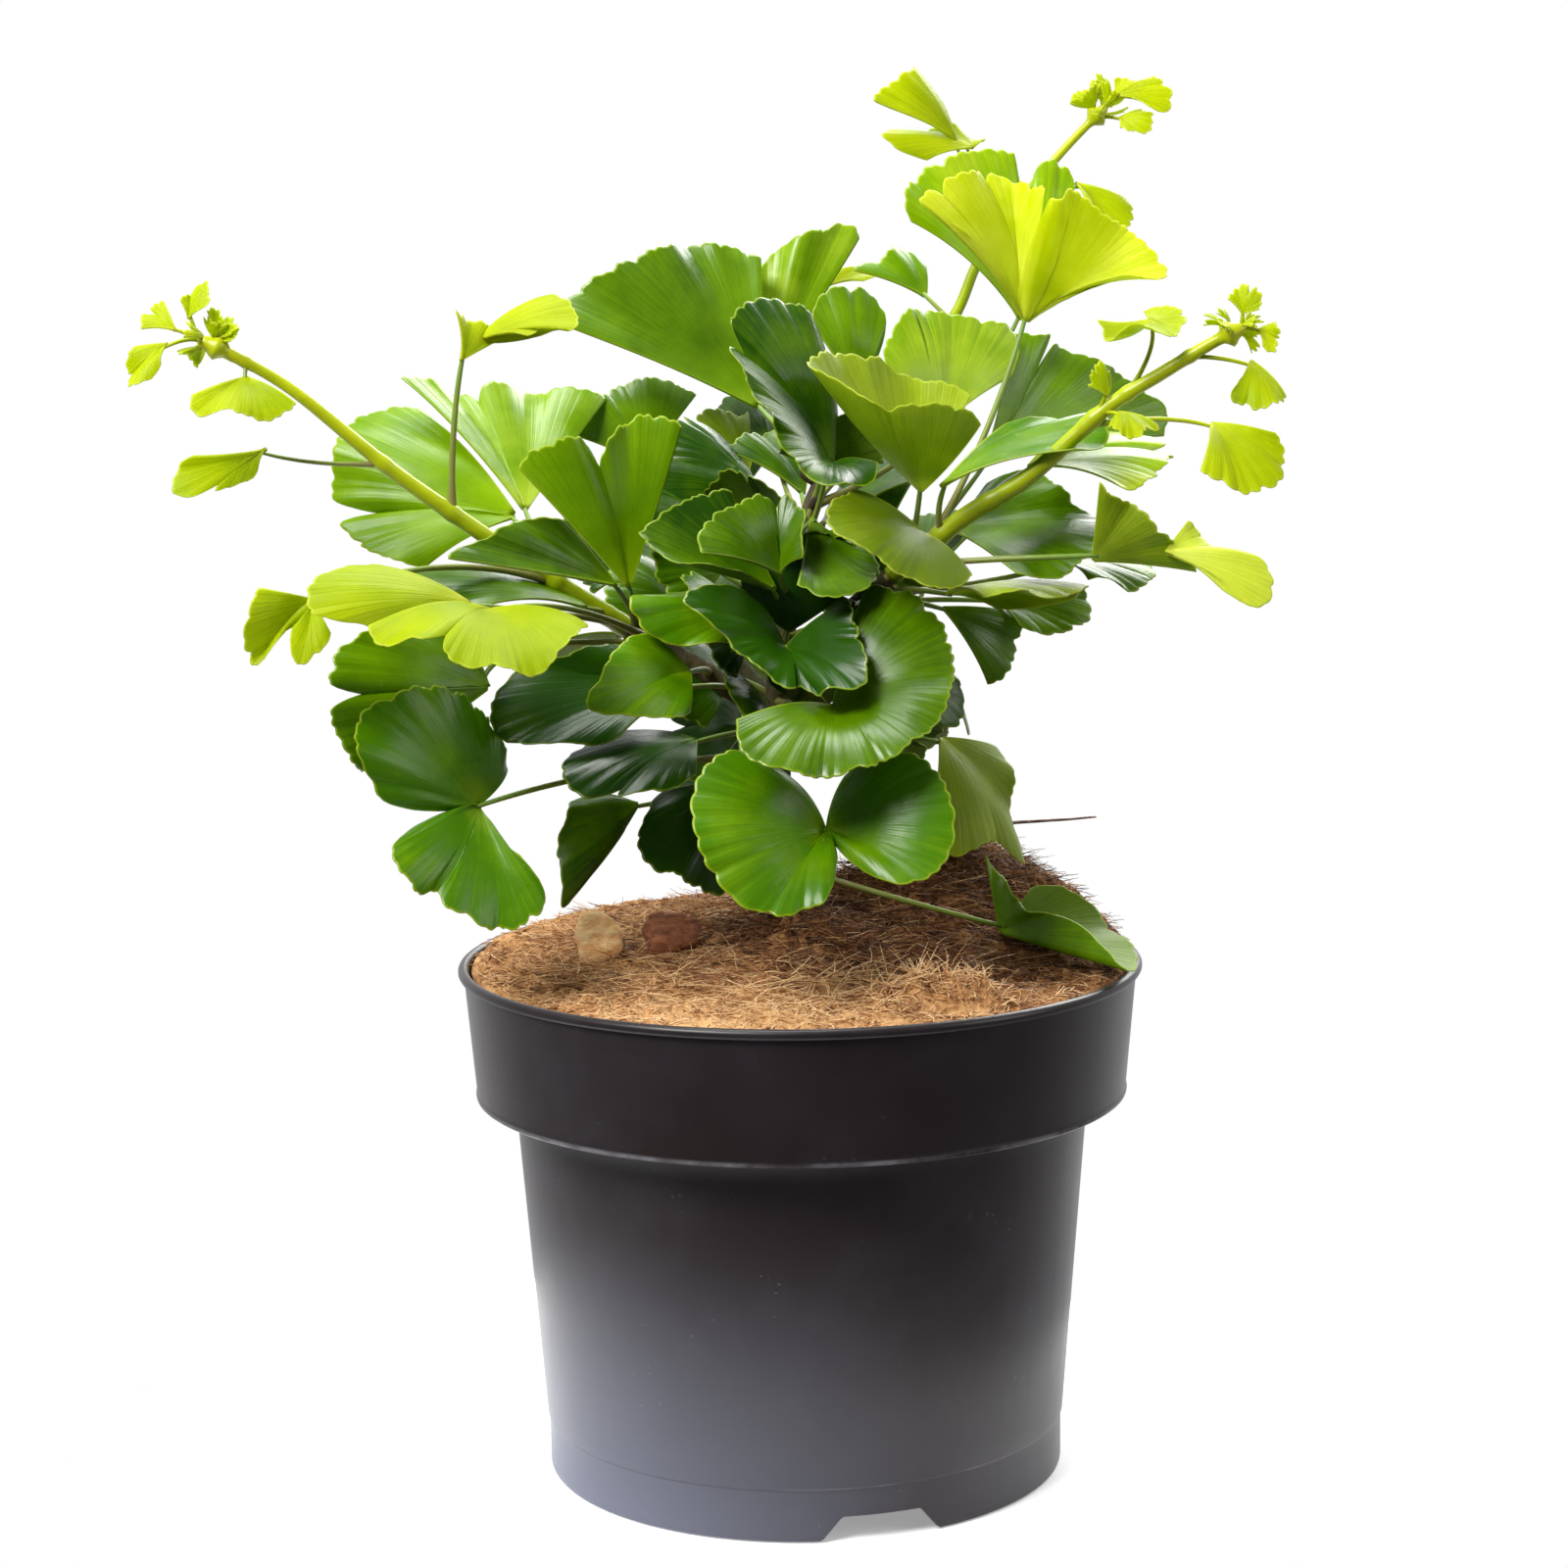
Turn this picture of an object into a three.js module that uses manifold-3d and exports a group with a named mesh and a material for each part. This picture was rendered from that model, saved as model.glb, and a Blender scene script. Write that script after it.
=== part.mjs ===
// A young ginkgo in a round nursery pot: pot, root ball, coir mulch with two bark chips, woody
// trunk, new shoots and fan-shaped leaves. Millimetres, +Z up. The origin is on the pot's axis, in
// the plane of its foot. The side with the low butterfly leaf faces -Y.
import * as THREE from "three";
import { mergeVertices } from "three/addons/utils/BufferGeometryUtils.js";
import Module from "manifold-3d";

const wasm = await Module();
wasm.setup();

// Pot
const POT_HEIGHT = 143;
const RIM_RADIUS = 95;
const LIP = 1.5; // radius of the rolled bead
const WALL = 1.6;
const BAND_FOOT = { r: 90.5, z: 107 }; // lower edge of the deep rim band
const BODY_TOP_RADIUS = 80;
const STEP = { r: 72.9, z: 14.5 }; // fine line where the foot sets in
const FOOT_RADIUS = 72.35;
const FOOT_EDGE = 0.4; // the foot's worn outer corner
const FLOOR_Z = 7; // underside of the raised floor
const PAD_RADIUS = 12; // central pad that carries the floor, level with the foot
const POT_SIDES = 44;
const NOTCH = { foot: 33, top: 22, height: 6.5, azimuths: [-74, 46, 166] };
const DRAIN = { radius: 4.5, ring: 52, count: 6 };

// Fill
const SOIL_TOP = 128;
const COIR_EDGE = 140;
const GAP = 0.3; // clearance between pieces that touch
const COIR_RADIUS = 90.6;
const HEAP = { x: 50, y: 45, rise: 24, spread: 26 };
const CROWN = 6; // rise of the mat from its edge to its middle
const BACK_RISE = 4;

// Plant
const TRUNK = { x: -4, y: 2, radius: 5.5 }; // where it leaves the soil
const LEAF_THICKNESS = 0.9;
const STALK = { radius: 1.0, foot: 1.2, tip: 0.8, insideBlade: 3 }; // foot and tip are shares
const SMALL_BLADE = 24; // blades shorter than this are made flatter
const TWIG = { startRadius: 1.3, endRadius: 0.5 };
const SLIVER = 0.02; // edges shorter than this are closed up

const GREEN = { mature: 0x3d6b1a, bright: 0x76a022, young: 0xb9cc1f, dull: 0x6f7a45 };
const BLACK_PLASTIC = { color: 0x262324, roughness: 0.42, metalness: 0 };
const SOIL = { color: 0x2e2018, roughness: 0.95, metalness: 0 };
const COIR = { color: 0xa9743f, roughness: 0.95, metalness: 0 };
const PALE_BARK = { color: 0xc9a77a, roughness: 0.85, metalness: 0 };
const RED_BARK = { color: 0x6d3d26, roughness: 0.85, metalness: 0 };
const WOOD = { color: 0x5a4a2c, roughness: 0.85, metalness: 0 };
const SHOOT = { color: 0xb4c41c, roughness: 0.5, metalness: 0 };

const plant = new THREE.Group();
const vec = (p) => new THREE.Vector3(...p);
const radians = THREE.MathUtils.degToRad;

// A closed triangle mesh as a solid whose faces point out.
function solid(vertices, triangles) {
  const build = (tris) =>
    new wasm.Manifold(
      new wasm.Mesh({
        numProp: 3,
        vertProperties: new Float32Array(vertices),
        triVerts: new Uint32Array(tris),
      }),
    );
  const made = build(triangles);
  if (made.volume() > 0) return made;
  const turned = [];
  for (let i = 0; i < triangles.length; i += 3)
    turned.push(triangles[i], triangles[i + 2], triangles[i + 1]);
  return build(turned);
}

function solidFrom(geometry) {
  geometry.deleteAttribute("normal");
  geometry.deleteAttribute("uv");
  const merged = mergeVertices(geometry, 1e-4);
  return solid(merged.attributes.position.array, merged.index.array);
}

// The largest body of a solid, without the slivers that a cut can leave.
function largest(made) {
  const bodies = made.simplify(SLIVER).decompose();
  return bodies.sort((a, b) => b.volume() - a.volume())[0];
}

function addNode(name, made, look) {
  const mesh = made.getMesh();
  const geometry = new THREE.BufferGeometry();
  geometry.setAttribute("position", new THREE.BufferAttribute(mesh.vertProperties, 3));
  geometry.setIndex(new THREE.BufferAttribute(mesh.triVerts, 1));
  geometry.computeVertexNormals();
  const node = new THREE.Mesh(geometry, new THREE.MeshStandardMaterial(look));
  node.name = name;
  plant.add(node);
}

const leafLook = (green) => ({ color: GREEN[green], roughness: 0.35, metalness: 0 });

// A round tube along a curve, tapering from one radius to the other, with flat ends.
function tube(curve, startRadius, endRadius, steps, sides) {
  const frames = curve.computeFrenetFrames(steps, false);
  const vertices = [];
  const triangles = [];
  for (let i = 0; i <= steps; i++) {
    const centre = curve.getPointAt(i / steps);
    const radius = THREE.MathUtils.lerp(startRadius, endRadius, i / steps);
    for (let k = 0; k < sides; k++) {
      const angle = (2 * Math.PI * k) / sides;
      const p = centre
        .clone()
        .addScaledVector(frames.normals[i], radius * Math.cos(angle))
        .addScaledVector(frames.binormals[i], radius * Math.sin(angle));
      vertices.push(p.x, p.y, p.z);
    }
  }
  const at = (i, k) => i * sides + (k % sides);
  for (let i = 0; i < steps; i++)
    for (let k = 0; k < sides; k++) {
      triangles.push(at(i, k), at(i, k + 1), at(i + 1, k + 1));
      triangles.push(at(i, k), at(i + 1, k + 1), at(i + 1, k));
    }
  for (let k = 1; k < sides - 1; k++) {
    triangles.push(at(0, 0), at(0, k + 1), at(0, k));
    triangles.push(at(steps, 0), at(steps, k), at(steps, k + 1));
  }
  return solid(vertices, triangles);
}

// ---- Pot: one injection-moulded shell with a deep rim band, a raised floor and a notched foot.
{
  const lipCentre = { r: RIM_RADIUS - LIP, z: POT_HEIGHT - LIP };
  const lip = [];
  for (let angle = -60; angle <= 190; angle += 50)
    lip.push([
      lipCentre.r + LIP * Math.cos(radians(angle)),
      lipCentre.z + LIP * Math.sin(radians(angle)),
    ]);
  const outline = [
    [0, 0],
    [PAD_RADIUS, 0],
    [PAD_RADIUS, FLOOR_Z],
    [FOOT_RADIUS - WALL, FLOOR_Z],
    [FOOT_RADIUS - WALL, 0],
    [FOOT_RADIUS - FOOT_EDGE, 0],
    [FOOT_RADIUS, FOOT_EDGE],
    [STEP.r - 0.5, STEP.z - 0.5],
    [STEP.r, STEP.z],
    [BODY_TOP_RADIUS, BAND_FOOT.z - 1.5],
    [BAND_FOOT.r - 1, BAND_FOOT.z - 1],
    [BAND_FOOT.r, BAND_FOOT.z],
    ...lip,
    [BAND_FOOT.r - WALL, BAND_FOOT.z + WALL - 1],
    [BODY_TOP_RADIUS - WALL, BAND_FOOT.z - 0.6],
    [STEP.r - WALL, FLOOR_Z + WALL],
    [0, FLOOR_Z + WALL],
  ].map(([r, z]) => new THREE.Vector2(r, z));
  const turn = new THREE.LatheGeometry(outline, POT_SIDES);
  turn.rotateX(Math.PI / 2);
  let pot = solidFrom(turn);
  const notchShape = new THREE.Shape();
  notchShape.moveTo(-NOTCH.foot / 2, -1);
  notchShape.lineTo(NOTCH.foot / 2, -1);
  notchShape.lineTo(NOTCH.top / 2, NOTCH.height);
  notchShape.lineTo(-NOTCH.top / 2, NOTCH.height);
  for (const azimuth of NOTCH.azimuths) {
    const cutter = new THREE.ExtrudeGeometry(notchShape, { depth: 14, bevelEnabled: false });
    cutter.rotateX(Math.PI / 2);
    cutter.rotateZ(Math.PI);
    cutter.translate(0, FOOT_RADIUS - 8, 0);
    cutter.rotateZ(radians(azimuth - 90));
    pot = pot.subtract(solidFrom(cutter));
  }
  for (let i = 0; i < DRAIN.count; i++) {
    const hole = new THREE.CylinderGeometry(DRAIN.radius, DRAIN.radius, 4 * WALL, 12);
    hole.rotateX(Math.PI / 2);
    hole.translate(DRAIN.ring, 0, FLOOR_Z);
    hole.rotateZ((2 * Math.PI * i) / DRAIN.count);
    pot = pot.subtract(solidFrom(hole));
  }
  addNode("nursery_pot", pot, BLACK_PLASTIC);
}

// ---- Root ball: potting soil and roots, moulded to the inside of the pot.
{
  const inset = WALL + GAP;
  const outline = [
    [0, FLOOR_Z + inset],
    [STEP.r - inset - 0.3, FLOOR_Z + inset],
    [BODY_TOP_RADIUS - inset - 0.1, BAND_FOOT.z - 0.2],
    [BAND_FOOT.r - inset - 0.2, BAND_FOOT.z + WALL - 0.4],
    [BAND_FOOT.r - inset + 1.6, SOIL_TOP - GAP],
    [0, SOIL_TOP - GAP],
  ].map(([r, z]) => new THREE.Vector2(r, z));
  const turn = new THREE.LatheGeometry(outline, 32);
  turn.rotateX(Math.PI / 2);
  addNode("root_ball", solidFrom(turn), SOIL);
}

// ---- Coir mulch: a loose mat that fills the rim and heaps up behind the trunk on the right.
function coirHeight(x, y) {
  const r2 = (x * x + y * y) / COIR_RADIUS ** 2;
  const away = (x - HEAP.x) ** 2 + (y - HEAP.y) ** 2;
  const heap = HEAP.rise * Math.exp(-away / (2 * HEAP.spread ** 2));
  return COIR_EDGE + CROWN * (1 - r2) + (BACK_RISE * (y + COIR_RADIUS)) / (2 * COIR_RADIUS) + heap;
}

{
  const rings = 7;
  const sectors = 28;
  const vertices = [0, 0, coirHeight(0, 0), 0, 0, SOIL_TOP];
  const triangles = [];
  const at = (ring, k) => 2 + (ring - 1) * sectors + (k % sectors);
  for (let ring = 1; ring <= rings + 1; ring++)
    for (let k = 0; k < sectors; k++) {
      const angle = (2 * Math.PI * k) / sectors;
      const radius = ring > rings ? COIR_RADIUS - 1 : (COIR_RADIUS * ring) / rings;
      const x = radius * Math.cos(angle);
      const y = radius * Math.sin(angle);
      vertices.push(x, y, ring > rings ? SOIL_TOP : coirHeight(x, y));
    }
  for (let k = 0; k < sectors; k++) {
    triangles.push(0, at(1, k), at(1, k + 1));
    triangles.push(1, at(rings + 1, k + 1), at(rings + 1, k));
    for (let ring = 1; ring <= rings; ring++) {
      triangles.push(at(ring, k), at(ring + 1, k), at(ring + 1, k + 1));
      triangles.push(at(ring, k), at(ring + 1, k + 1), at(ring, k + 1));
    }
  }
  const trunkHole = new THREE.CylinderGeometry(TRUNK.radius + GAP, TRUNK.radius + GAP, 60, 12);
  trunkHole.rotateX(Math.PI / 2);
  trunkHole.translate(TRUNK.x, TRUNK.y, SOIL_TOP + 20);
  addNode("coir_mulch", solid(vertices, triangles).subtract(solidFrom(trunkHole)), COIR);
}

// ---- Two bark chips lying on the coir: flat splinters with rounded corners.
function barkChip(name, { x, y, length, width, thickness, turn, tilt }, look) {
  const shape = new THREE.Shape();
  shape.moveTo(-length / 2, -width * 0.3);
  shape.quadraticCurveTo(0, -width * 0.65, length / 2, -width * 0.2);
  shape.lineTo(length * 0.42, width * 0.4);
  shape.quadraticCurveTo(0, width * 0.3, -length * 0.45, width * 0.5);
  shape.closePath();
  const flat = new THREE.ExtrudeGeometry(shape, {
    depth: thickness,
    bevelEnabled: false,
    curveSegments: 4,
  });
  flat.rotateX(tilt);
  flat.rotateZ(turn);
  flat.computeBoundingBox();
  const lift = 1.6; // clears the crown of the mat under the chip
  flat.translate(x, y, coirHeight(x, y) + lift - flat.boundingBox.min.z);
  addNode(name, solidFrom(flat), look);
}
barkChip(
  "bark_chip_pale",
  { x: -55, y: -12, length: 13, width: 9, thickness: 2.2, turn: 0.9, tilt: 0.25 },
  PALE_BARK,
);
barkChip(
  "bark_chip_red",
  { x: -35, y: -9, length: 15, width: 8, thickness: 3, turn: 0.25, tilt: 0.3 },
  RED_BARK,
);

// ---- Stems. Each is a smooth curve through its points; leaves name the stem they grow from.
const line = (...points) => new THREE.CatmullRomCurve3(points.map(vec), false, "catmullrom");
const stems = {
  trunk: line(
    [TRUNK.x, TRUNK.y, SOIL_TOP],
    [-5, 3, 177],
    [-6, 4, 207],
    [-3, 8, 234],
    [3, 16, 261],
    [10, 24, 279],
  ),
  branch_left: line([-5, 4, 209], [-25, -2, 223], [-45, -6, 236]),
  branch_right: line([-4, 5, 218], [10, -4, 235], [25, -12, 249]),
  branch_top: line([8, 22, 274], [14, 26, 281], [21, 29, 288]),
  shoot_left: line(
    [-46, -6, 236],
    [-63, -12, 248],
    [-82, -20, 262],
    [-107, -26, 281],
    [-131, -32, 302],
    [-147, -36, 312],
    [-155, -38, 316],
  ),
  shoot_right: line(
    [26, -13, 250],
    [45, -22, 266],
    [62, -28, 277],
    [82, -34, 295],
    [96, -38, 304],
    [109, -42, 312],
    [117, -44, 316],
  ),
  shoot_top: line(
    [22, 29, 288],
    [35, 36, 302],
    [47, 44, 320],
    [54, 50, 335],
    [65, 52, 350],
    [78, 54, 365],
    [91, 56, 378],
  ),
  spray_left: line([-6, 5, 214], [-20, 30, 226], [-34, 54, 238]),
  spray_right: line([-4, 6, 216], [14, 32, 222], [34, 58, 228]),
};

// The directions and lengths of a blade's margin points, seen from its base, with the angle that
// each one lies round the fan.
function fanOf({ base, margin }) {
  const rays = margin.map((p) => vec(p).sub(vec(base)));
  const angles = [0];
  for (let i = 1; i < rays.length; i++)
    angles.push(angles[i - 1] + rays[i - 1].angleTo(rays[i]));
  return {
    base: vec(base),
    units: rays.map((r) => r.clone().normalize()),
    lengths: rays.map((r) => r.length()),
    places: angles.map((a) => a / angles.at(-1)),
    spread: angles.at(-1),
  };
}

function catmullRom(values, i, f, mix) {
  const last = values.length - 1;
  const before = i > 0 ? values[i - 1] : mix(values[0], values[1], -1);
  const after = i + 1 < last ? values[i + 2] : mix(values[last], values[last - 1], -1);
  const weights = [
    (-f + 2 * f * f - f ** 3) / 2,
    (2 - 5 * f * f + 3 * f ** 3) / 2,
    (f + 4 * f * f - 3 * f ** 3) / 2,
    (f ** 3 - f * f) / 2,
  ];
  return [before, values[i], values[i + 1], after].map((value, k) => [value, weights[k]]);
}

// The ray from a blade's base to its margin, s running from the left edge (0) to the right (1).
function rayAt(fan, s) {
  let i = 0;
  while (i < fan.places.length - 2 && s > fan.places[i + 1]) i++;
  const f = (s - fan.places[i]) / (fan.places[i + 1] - fan.places[i]);
  const mixVectors = (a, b, t) => a.clone().lerp(b, t);
  const unit = new THREE.Vector3();
  for (const [value, weight] of catmullRom(fan.units, i, f, mixVectors))
    unit.addScaledVector(value, weight);
  let length = 0;
  for (const [value, weight] of catmullRom(fan.lengths, i, f, THREE.MathUtils.lerp))
    length += value * weight;
  return unit.normalize().multiplyScalar(length);
}

// How far the margin is drawn in at s: rounded shoulders and the notch of each cleft.
const SHOULDER = 0.1;
const SHOULDER_DEPTH = 0.04;
function marginAt(s, clefts) {
  const edge = Math.min(s, 1 - s);
  let reach = edge < SHOULDER ? 1 - SHOULDER_DEPTH * (1 - edge / SHOULDER) ** 2 : 1;
  for (const [place, depth, width] of clefts)
    reach -= depth * Math.max(0, 1 - Math.abs(s - place) / width) ** 1.5;
  return reach;
}

// A point of the blade: t runs from the base (0) to the margin (1), bow lifts the middle of each
// ray towards the upper face, and waist draws the sides in near the base, as on a trumpet.
function bladePoint(fan, blade, s, t) {
  const step = 0.01;
  const waist = (blade.waist ?? 0) * (1 - t) ** 2;
  const ray = rayAt(fan, s).lerp(rayAt(fan, 0.5), waist);
  const up = rayAt(fan, Math.min(1, s + step)).cross(rayAt(fan, Math.max(0, s - step)));
  const reach = marginAt(s, blade.clefts ?? []);
  return fan.base
    .clone()
    .addScaledVector(ray, t * reach)
    .addScaledVector(up.normalize(), ray.length() * (blade.bow ?? 0.08) * 4 * t * (1 - t));
}

// One fan-shaped blade as a thin closed solid.
function bladeSolid(blade) {
  const fan = fanOf(blade);
  const small = Math.max(...fan.lengths) < SMALL_BLADE;
  const across = Math.max(4, Math.round(fan.spread / (small ? 0.55 : 0.36)));
  const places = new Set();
  for (let i = 0; i <= across; i++) places.add(i / across);
  for (const [place, , width] of blade.clefts ?? [])
    for (const near of [...places])
      if (near > 0 && near < 1 && Math.abs(near - place) < width) places.delete(near);
  for (const [place, , width] of blade.clefts ?? [])
    for (const extra of [place - width, place, place + width])
      if (extra > 0.01 && extra < 0.99) places.add(extra);
  const columns = [...places].sort((a, b) => a - b);
  const rows = small ? [0.08, 1] : [0.06, 0.5, 1];
  const step = 0.02;
  const vertices = [];
  for (const side of [1, -1])
    for (const t of rows)
      for (const s of columns) {
        const acrossBlade = bladePoint(fan, blade, Math.min(1, s + step), t).sub(
          bladePoint(fan, blade, Math.max(0, s - step), t),
        );
        const along = bladePoint(fan, blade, s, Math.min(1, t + step)).sub(
          bladePoint(fan, blade, s, Math.max(0, t - step)),
        );
        const p = bladePoint(fan, blade, s, t).addScaledVector(
          acrossBlade.cross(along).normalize(),
          (side * LEAF_THICKNESS) / 2,
        );
        vertices.push(p.x, p.y, p.z);
      }
  const n = columns.length;
  const m = rows.length;
  const at = (side, i, j) => side * n * m + i * n + j;
  const triangles = [];
  const quad = (a, b, c, d) => triangles.push(a, b, c, a, c, d);
  for (let i = 0; i < m - 1; i++)
    for (let j = 0; j < n - 1; j++) {
      quad(at(0, i, j), at(0, i, j + 1), at(0, i + 1, j + 1), at(0, i + 1, j));
      quad(at(1, i, j), at(1, i + 1, j), at(1, i + 1, j + 1), at(1, i, j + 1));
    }
  for (let j = 0; j < n - 1; j++) {
    quad(at(0, 0, j + 1), at(0, 0, j), at(1, 0, j), at(1, 0, j + 1));
    quad(at(0, m - 1, j), at(0, m - 1, j + 1), at(1, m - 1, j + 1), at(1, m - 1, j));
  }
  for (let i = 0; i < m - 1; i++) {
    quad(at(0, i, 0), at(0, i + 1, 0), at(1, i + 1, 0), at(1, i, 0));
    quad(at(0, i + 1, n - 1), at(0, i, n - 1), at(1, i, n - 1), at(1, i + 1, n - 1));
  }
  return solid(vertices, triangles);
}

// A leaf: its stalk runs from the named stem into the blade's base. Extra blades are lobes that
// fold or twist away from the first one.
function leafSolid(leaf) {
  const fan = fanOf(leaf);
  let made = bladeSolid(leaf);
  for (const lobe of leaf.lobes ?? []) made = made.add(bladeSolid(lobe));
  if (leaf.stem) {
    const start = stems[leaf.stem].getPointAt(leaf.at);
    const reach = fan.units
      .reduce((sum, unit) => sum.add(unit), new THREE.Vector3())
      .normalize()
      .multiplyScalar(STALK.insideBlade);
    const end = fan.base.clone().add(reach);
    const middle = leaf.via ? vec(leaf.via) : start.clone().lerp(fan.base, 0.5);
    const path = new THREE.QuadraticBezierCurve3(start, middle, end);
    const steps = leaf.via ? 5 : 2;
    const radius = STALK.radius * (leaf.slim ?? 1);
    made = made.add(tube(path, radius * STALK.foot, radius * STALK.tip, steps, 5));
  }
  return made;
}

const leaves = [
  // Left side, from the shoot down to the rim
  { name: "leaf_left_bright", green: "bright", stem: "shoot_left", at: 0.22, base: [-76, 4, 266],
    margin: [[-102, -6, 253], [-122, 2, 261], [-128, 10, 275], [-122, 20, 293], [-106, 28, 297]],
    clefts: [[0.42, 0.22, 0.05]] },
  { name: "leaf_left_arrow", green: "mature", stem: "shoot_left", at: 0.18, base: [-74, 6, 267],
    margin: [[-110, 18, 305], [-101, 24, 304], [-93, 28, 300], [-85, 32, 301], [-69, 38, 300],
      [-52, 44, 298]], clefts: [[0.36, 0.1, 0.06]], bow: 0.04 },
  { name: "leaf_left_back", green: "mature", stem: "trunk", at: 0.8, base: [-43, 40, 278],
    margin: [[-66, 36, 288], [-56, 44, 297], [-45, 52, 302], [-27, 58, 298]] },
  { name: "leaf_left_heart", green: "bright", stem: "branch_left", at: 0.92, base: [-45, -14, 247],
    margin: [[-74, -26, 282], [-61, -22, 289], [-52, -16, 287], [-42, -12, 294], [-30, -8, 292]],
    clefts: [[0.47, 0.16, 0.1]], bow: 0.03 },
  { name: "leaf_left_edge", green: "mature", stem: "branch_left", at: 0.98, base: [-47, -26, 249],
    margin: [[-92, -52, 259], [-82, -42, 264], [-70, -34, 268], [-61, -31, 268]], bow: 0.02 },
  { name: "leaf_left_glossy", green: "mature", stem: "shoot_left", at: 0.05, base: [-56, -16, 242],
    margin: [[-86, -38, 245], [-104, -34, 251], [-94, -12, 254], [-75, 4, 249]] },
  { name: "leaf_yellow_front", green: "young", stem: "branch_left", at: 0.85,
    base: [-79, -56, 246], via: [-62, -32, 249],
    margin: [[-52, -70, 242], [-61, -84, 237], [-78, -94, 235], [-93, -94, 239], [-108, -84, 246]],
    clefts: [[0.72, 0.22, 0.04]], bow: 0.1 },
  { name: "leaf_yellow_curled", green: "young", stem: "shoot_left", at: 0.02,
    base: [-84, -52, 247], via: [-66, -30, 243],
    margin: [[-105, -80, 243], [-119, -88, 247], [-122, -84, 254], [-115, -68, 259],
      [-102, -52, 254]] },
  { name: "leaf_yellow_drooping", green: "young", stem: "shoot_left", at: 0.17,
    base: [-122, -72, 251], via: [-96, -36, 262],
    margin: [[-117, -80, 243], [-124, -84, 235], [-129, -84, 243], [-136, -86, 236],
      [-138, -88, 244], [-134, -84, 255]], clefts: [[0.42, 0.3, 0.08]] },
  { name: "young_leaf_hanging", green: "young", stem: "shoot_left", at: 0.9,
    base: [-143, -36, 306],
    margin: [[-129, -40, 299], [-136, -46, 295], [-145, -50, 297], [-153, -52, 297],
      [-155, -50, 302]], slim: 0.7 },
  { name: "young_leaf_pale", green: "young", stem: "shoot_left", at: 0.58, base: [-139, -30, 287],
    via: [-127, -30, 282],
    margin: [[-141, -36, 282], [-148, -40, 277], [-159, -44, 275], [-162, -44, 280],
      [-157, -42, 286]], clefts: [[0.45, 0.2, 0.06]], slim: 0.7 },
  { name: "young_leaf_twisted", green: "young", stem: "shoot_left", at: 0.42,
    base: [-88, -24, 309], via: [-91, -24, 294],
    margin: [[-89, -24, 323], [-86, -19, 320], [-80, -14, 320], [-69, -7, 324], [-63, -9, 326],
      [-56, -14, 321], [-59, -20, 317], [-71, -22, 314]] },
  { name: "leaf_left_upper", green: "mature", stem: "branch_left", at: 0.8, base: [-81, -40, 224],
    via: [-82, -24, 238],
    margin: [[-115, -58, 204], [-118, -62, 214], [-121, -62, 228], [-117, -54, 238],
      [-101, -44, 241], [-86, -36, 234]], clefts: [[0.27, 0.2, 0.05]], bow: 0.05 },
  { name: "leaf_left_lower", green: "bright", stem: "trunk", at: 0.46, base: [-84, -49, 194],
    via: [-55, -26, 201],
    margin: [[-72, -58, 182], [-66, -62, 174], [-67, -66, 167], [-76, -70, 164],
      [-90, -76, 171], [-101, -78, 182], [-104, -72, 193], [-108, -70, 202],
      [-113, -72, 212], [-111, -66, 222], [-97, -56, 227], [-83, -44, 219], [-76, -36, 202]],
    clefts: [[0.24, 0.12, 0.03], [0.4, 0.7, 0.05]] },

  // Top of the crown
  { name: "leaf_back_great", green: "mature", stem: "trunk", at: 0.97, base: [-9, 40, 293],
    margin: [[-68, 26, 319], [-60, 34, 328], [-43, 46, 337], [-22, 57, 341], [-9, 60, 337]],
    bow: 0.04 },
  { name: "leaf_back_peak", green: "mature", stem: "trunk", at: 0.99, base: [-7, 62, 302],
    margin: [[-10, 68, 333], [4, 68, 343], [16, 72, 346], [21, 74, 343]], bow: 0.03 },
  { name: "leaf_centre_tall", green: "mature", stem: "trunk", at: 0.82, base: [10, -5, 279],
    margin: [[23, -31, 281], [15, -38, 277], [1, -34, 281], [-10, -26, 297], [-17, -16, 313],
      [-12, -6, 324], [5, 6, 321], [10, 8, 299]], clefts: [[0.66, 0.18, 0.03]] },
  { name: "leaf_centre_dark", green: "mature", stem: "branch_top", at: 0.6, base: [17, 26, 295],
    margin: [[6, 26, 316], [8, 32, 325], [20, 38, 328], [26, 38, 319], [24, 34, 309]] },
  { name: "leaf_centre_glossy", green: "mature", stem: "shoot_top", at: 0.04, base: [39, 8, 288],
    margin: [[24, 2, 301], [27, 10, 315], [36, 18, 323], [45, 24, 319], [54, 28, 318],
      [63, 30, 315], [62, 22, 303]], clefts: [[0.5, 0.08, 0.08]] },
  { name: "leaf_centre_cup", green: "dull", stem: "shoot_right", at: 0.05, base: [34, -20, 273],
    margin: [[49, -46, 292], [38, -52, 297], [27, -52, 296], [15, -46, 302], [5, -30, 309],
      [16, -8, 309], [34, 2, 303], [49, 0, 300]], clefts: [[0.25, 0.06, 0.03]], bow: -0.04 },
  { name: "leaf_right_folded", green: "bright", stem: "shoot_right", at: 0.16,
    base: [38, -27, 274], margin: [[58, -6, 290], [71, -2, 292], [84, -12, 292], [76, -36, 283]] },
  { name: "leaf_top_back", green: "bright", stem: "trunk", at: 0.91, base: [65, 39, 317],
    via: [46, 31, 281],
    margin: [[32, 22, 346], [31, 24, 352], [38, 32, 360], [51, 40, 365], [64, 44, 364],
      [68, 44, 360], [75, 46, 363], [80, 48, 360], [81, 46, 351]], clefts: [[0.71, 0.5, 0.06]] },
  { name: "leaf_top_front", green: "young", stem: "shoot_right", at: 0.12, base: [64, 11, 317],
    via: [54, 0, 286],
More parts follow.
